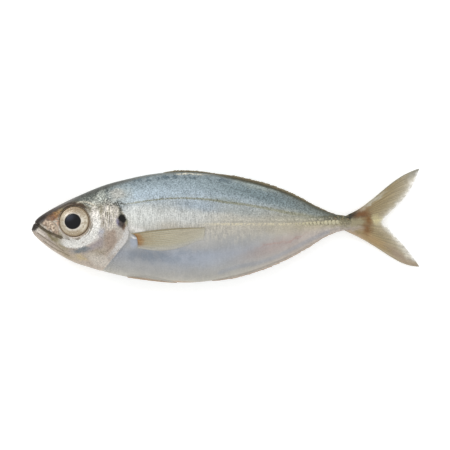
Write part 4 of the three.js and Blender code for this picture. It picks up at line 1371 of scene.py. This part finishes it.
dark_fin = fin_finish("back_fin_membrane", [(0, "#4f4e3f"), (0.6, "#625c48"), (1, "#857c64")])
dark_bone = fin_finish("back_fin_rays_bone", [(0, "#4b483a"), (0.6, "#6b614a"), (1, "#8d8064")])
pale_fin = fin_finish("belly_fin_membrane", [(0, "#b3aca5"), (0.6, "#b5aca3"), (1, "#bca996")])
pale_bone = fin_finish("belly_fin_rays_bone", [(0, "#b5ada4"), (1, "#bfa78e")])
for name, strip in STRIPS.items():
    skin, bone = (pale_fin, pale_bone) if name == "anal" else (dark_fin, dark_bone)
    membrane(f"{name}_membrane", strip_place(strip, 0.9), STRIP_STEPS, skin)
    rays(f"{name}_rays", strip_place(strip), STRIP_STEPS, bone, rays=strip["rays"], steps=12,
         root_radius=strip["thick"] * MM, tip_radius=strip["thick"] / 2 * MM, first_branch=0.6, slant=0.16,
         shortest=0.8, seed=5)

# %% [markdown]
# ### Side fins
# The side fins spring from a fleshy C-shaped root just behind the gill cover and lie folded back along the
# flank, pointed before and cut square behind. Their root is rust brown, and the blade a pale greyish tan.

# %% Side fins
PECTORAL_ROOT = np.array([(41.0, -3.5), (43.8, -9.5)])
PECTORAL_TIP = np.array([(72.0, -1.1), (71.2, -6.2)])
ROOT_BULGE = 1.6  # how far the C of its root swings back
CROWN, HOLLOW = 0.7, 2.4  # how far its upper and lower edges swing out
RAY_DEPTH = 0.06  # how far a ray's middle lies below the face of a fin on the flank
PECTORAL_STEPS = (30, 70)


def pectoral_place(hand, end=1.0):
    """The rule of a side fin on the left (1) or right (-1) flank."""

    def place(across, along, side):
        along = along * end
        root = PECTORAL_ROOT[0] + across[..., None] * (PECTORAL_ROOT[1] - PECTORAL_ROOT[0])
        root[..., 0] += ROOT_BULGE * np.sin(np.pi * across**0.55)
        tip = PECTORAL_TIP[0] + across[..., None] * (PECTORAL_TIP[1] - PECTORAL_TIP[0])
        x, y = np.moveaxis(root + along[..., None] * (tip - root), -1, 0)
        y = y - HOLLOW * across * np.sin(np.pi * np.minimum(along * 1.1, 1))
        y = y + CROWN * (1 - across) * np.sin(np.pi * along)
        proud = (0.5 - 0.25 * along + 0.25 * hump(along, 0.08)) * (1 - 0.85 * smooth(0.5, 1, across))
        z = flank(x, y) + np.where(side < 0, -0.5, proud - (RAY_DEPTH + 0.12 * across**2) * (side == 0))
        return np.stack([x, y, hand * z], -1)

    return place


side_skin = fin_finish("side_fin_membrane", [
    (0, "#7f6548"), (0.03, "#9c7444"), (0.06, "#a3855c"), (0.11, "#a79e82"), (0.3, "#ada891"),
    (0.8, "#b1ab97"), (1, "#b6b1a1"),
], sides=[(0.06, 0.01, "#857a5c"), (0.65, 1.0, "#adaaa1")])
side_bone = fin_finish("side_fin_rays_bone", [
    (0, "#7f6548"), (0.03, "#9c7444"), (0.11, "#a9987a"), (1, "#b6b09d"),
], sides=[(0.07, 0.02, "#857a5c"), (0.65, 1.0, "#adaaa1")])
for side, hand in (("left", 1), ("right", -1)):
    membrane(f"pectoral_{side}_membrane", pectoral_place(hand, 0.985), PECTORAL_STEPS, side_skin)
    rays(f"pectoral_{side}_rays", pectoral_place(hand), PECTORAL_STEPS, side_bone, rays=12, steps=30,
         root_radius=0.2 * MM, tip_radius=0.1 * MM, first_branch=0.4, slant=0.0, shortest=0.93, seed=7)

# %% [markdown]
# ### Belly fins
# The pair of belly fins lies folded back along the keel, pale above and tan along the lower edge.

# %% Belly fins
PELVIC = {"x": (39.5, 60), "breadth": 1.9, "below": 0.2, "half": 0.95}
PELVIC_STEPS = (12, 40)


def pelvic_place(hand, end=1.0):
    """The rule of a belly fin on the left (1) or right (-1) of the keel."""

    def place(across, along, side):
        x = PELVIC["x"][0] + along * end * (PELVIC["x"][1] - PELVIC["x"][0])
        leaf = np.sin(np.pi * (0.14 + 0.84 * along**0.8))
        y = belly_at(x) - PELVIC["below"] + across * PELVIC["breadth"] * leaf
        off_keel = np.maximum(flank(x, y), PELVIC["half"] * leaf)
        z = off_keel + np.where(side < 0, -0.5 * leaf, (0.15 - RAY_DEPTH * (side == 0)) * (1 - 0.8 * across))
        return np.stack([x, y, hand * z], -1)

    return place


keel_skin = fin_finish("keel_fin_membrane", [(0, "#b2b0a9"), (1, "#b5b3ac")], sides=[(0.7, 0.2, "#bba38b")])
keel_bone = fin_finish("keel_fin_rays_bone", [(0, "#b4b0a8"), (1, "#b8b4ab")], sides=[(0.7, 0.2, "#bda68f")])
for side, hand in (("left", 1), ("right", -1)):
    membrane(f"pelvic_{side}_membrane", pelvic_place(hand, 0.97), PELVIC_STEPS, keel_skin)
    rays(f"pelvic_{side}_rays", pelvic_place(hand), PELVIC_STEPS, keel_bone, rays=6, steps=20,
         root_radius=0.18 * MM, tip_radius=0.09 * MM, first_branch=0.5, slant=0.0, shortest=0.9, seed=9)

# %% [markdown]
# ## Scutes
# Towards the tail the scad's flank line carries scutes: small keeled plates in a row, one before the other,
# largest on the stalk. A second tree sets one plate after another along a path on the flank, each turned
# to follow it, and sizes them by how far along they are.

# %% The tree for scutes, and the scutes
FULL_GROWN = 7.0  # how many scutes it takes until they have their full size
SCUTE_START, SCUTE_END = 109, 126
SCUTE_PATH_POINTS = 40
SCUTE_LIFT = 0.12  # how far the middle of a scute stands off the plain trunk


def scute_tree():
    """Keeled plates along a path on the flank."""
    tree, given = new_tree("row_of_scutes", [
        ("Pitch", "Float"), ("Length", "Float"), ("Breadth", "Float"), ("Height", "Float"), ("Seed", "Int"),
        ("Material", "Material"),
    ])
    path = put(tree, "GeometryNodeMeshToCurve", {"Mesh": given["Geometry"]})
    spots = put(tree, "GeometryNodeCurveToPoints", {"Curve": path, "Length": given["Pitch"]}, mode="LENGTH")
    cone = {"Vertices": 6, "Side Segments": 2, "Radius Bottom": 0.5, "Radius Top": 0.0, "Depth": 1.0}
    plate = put(tree, "GeometryNodeMeshCone", cone, fill_type="NGON")
    measures = {"X": given["Length"], "Y": given["Breadth"], "Z": given["Height"]}
    size = put(tree, "ShaderNodeCombineXYZ", measures)
    order = put(tree, "GeometryNodeInputIndex")
    spread = {"Min": 0.6, "Max": 1.15, "ID": order, "Seed": given["Seed"]}
    uneven = put(tree, "FunctionNodeRandomValue", spread)
    growth = {"Value": order, "From Max": FULL_GROWN, "To Min": 0.45, "To Max": 1.0}
    share = reckon(tree, put(tree, "ShaderNodeMapRange", growth), ("MULTIPLY", uneven))
    sized = put(tree, "ShaderNodeVectorMath", {0: size, "Scale": share}, operation="SCALE")
    turned = put(tree, "FunctionNodeAlignRotationToVector", {"Vector": spots.outputs["Tangent"]}, axis="X")
    row = {"Points": spots, "Instance": plate, "Rotation": turned, "Scale": sized}
    finished(tree, put(tree, "GeometryNodeInstanceOnPoints", row), given["Material"])
    return tree


scute_bone = fin_finish("scute_plates_bone", [(0, "#bcb597"), (1, "#aea789")], roughness=0.4)
SCUTES = scute_tree()
for side, hand in (("left", 1), ("right", -1)):
    x = np.linspace(SCUTE_START, SCUTE_END, SCUTE_PATH_POINTS)
    y = lateral_at(x)
    path = laid_down(np.stack([x, y, hand * (flank(x, y) + SCUTE_LIFT)], -1))
    guide = new_mesh(f"scute_path_{side}", path, edges=[(i, i + 1) for i in range(len(x) - 1)])
    grown(f"scutes_{side}", guide, SCUTES, "skin", pitch=1.5 * MM, length=2.1 * MM, breadth=2.2 * MM,
          height=hand * 0.34 * MM, seed=11, material=scute_bone)
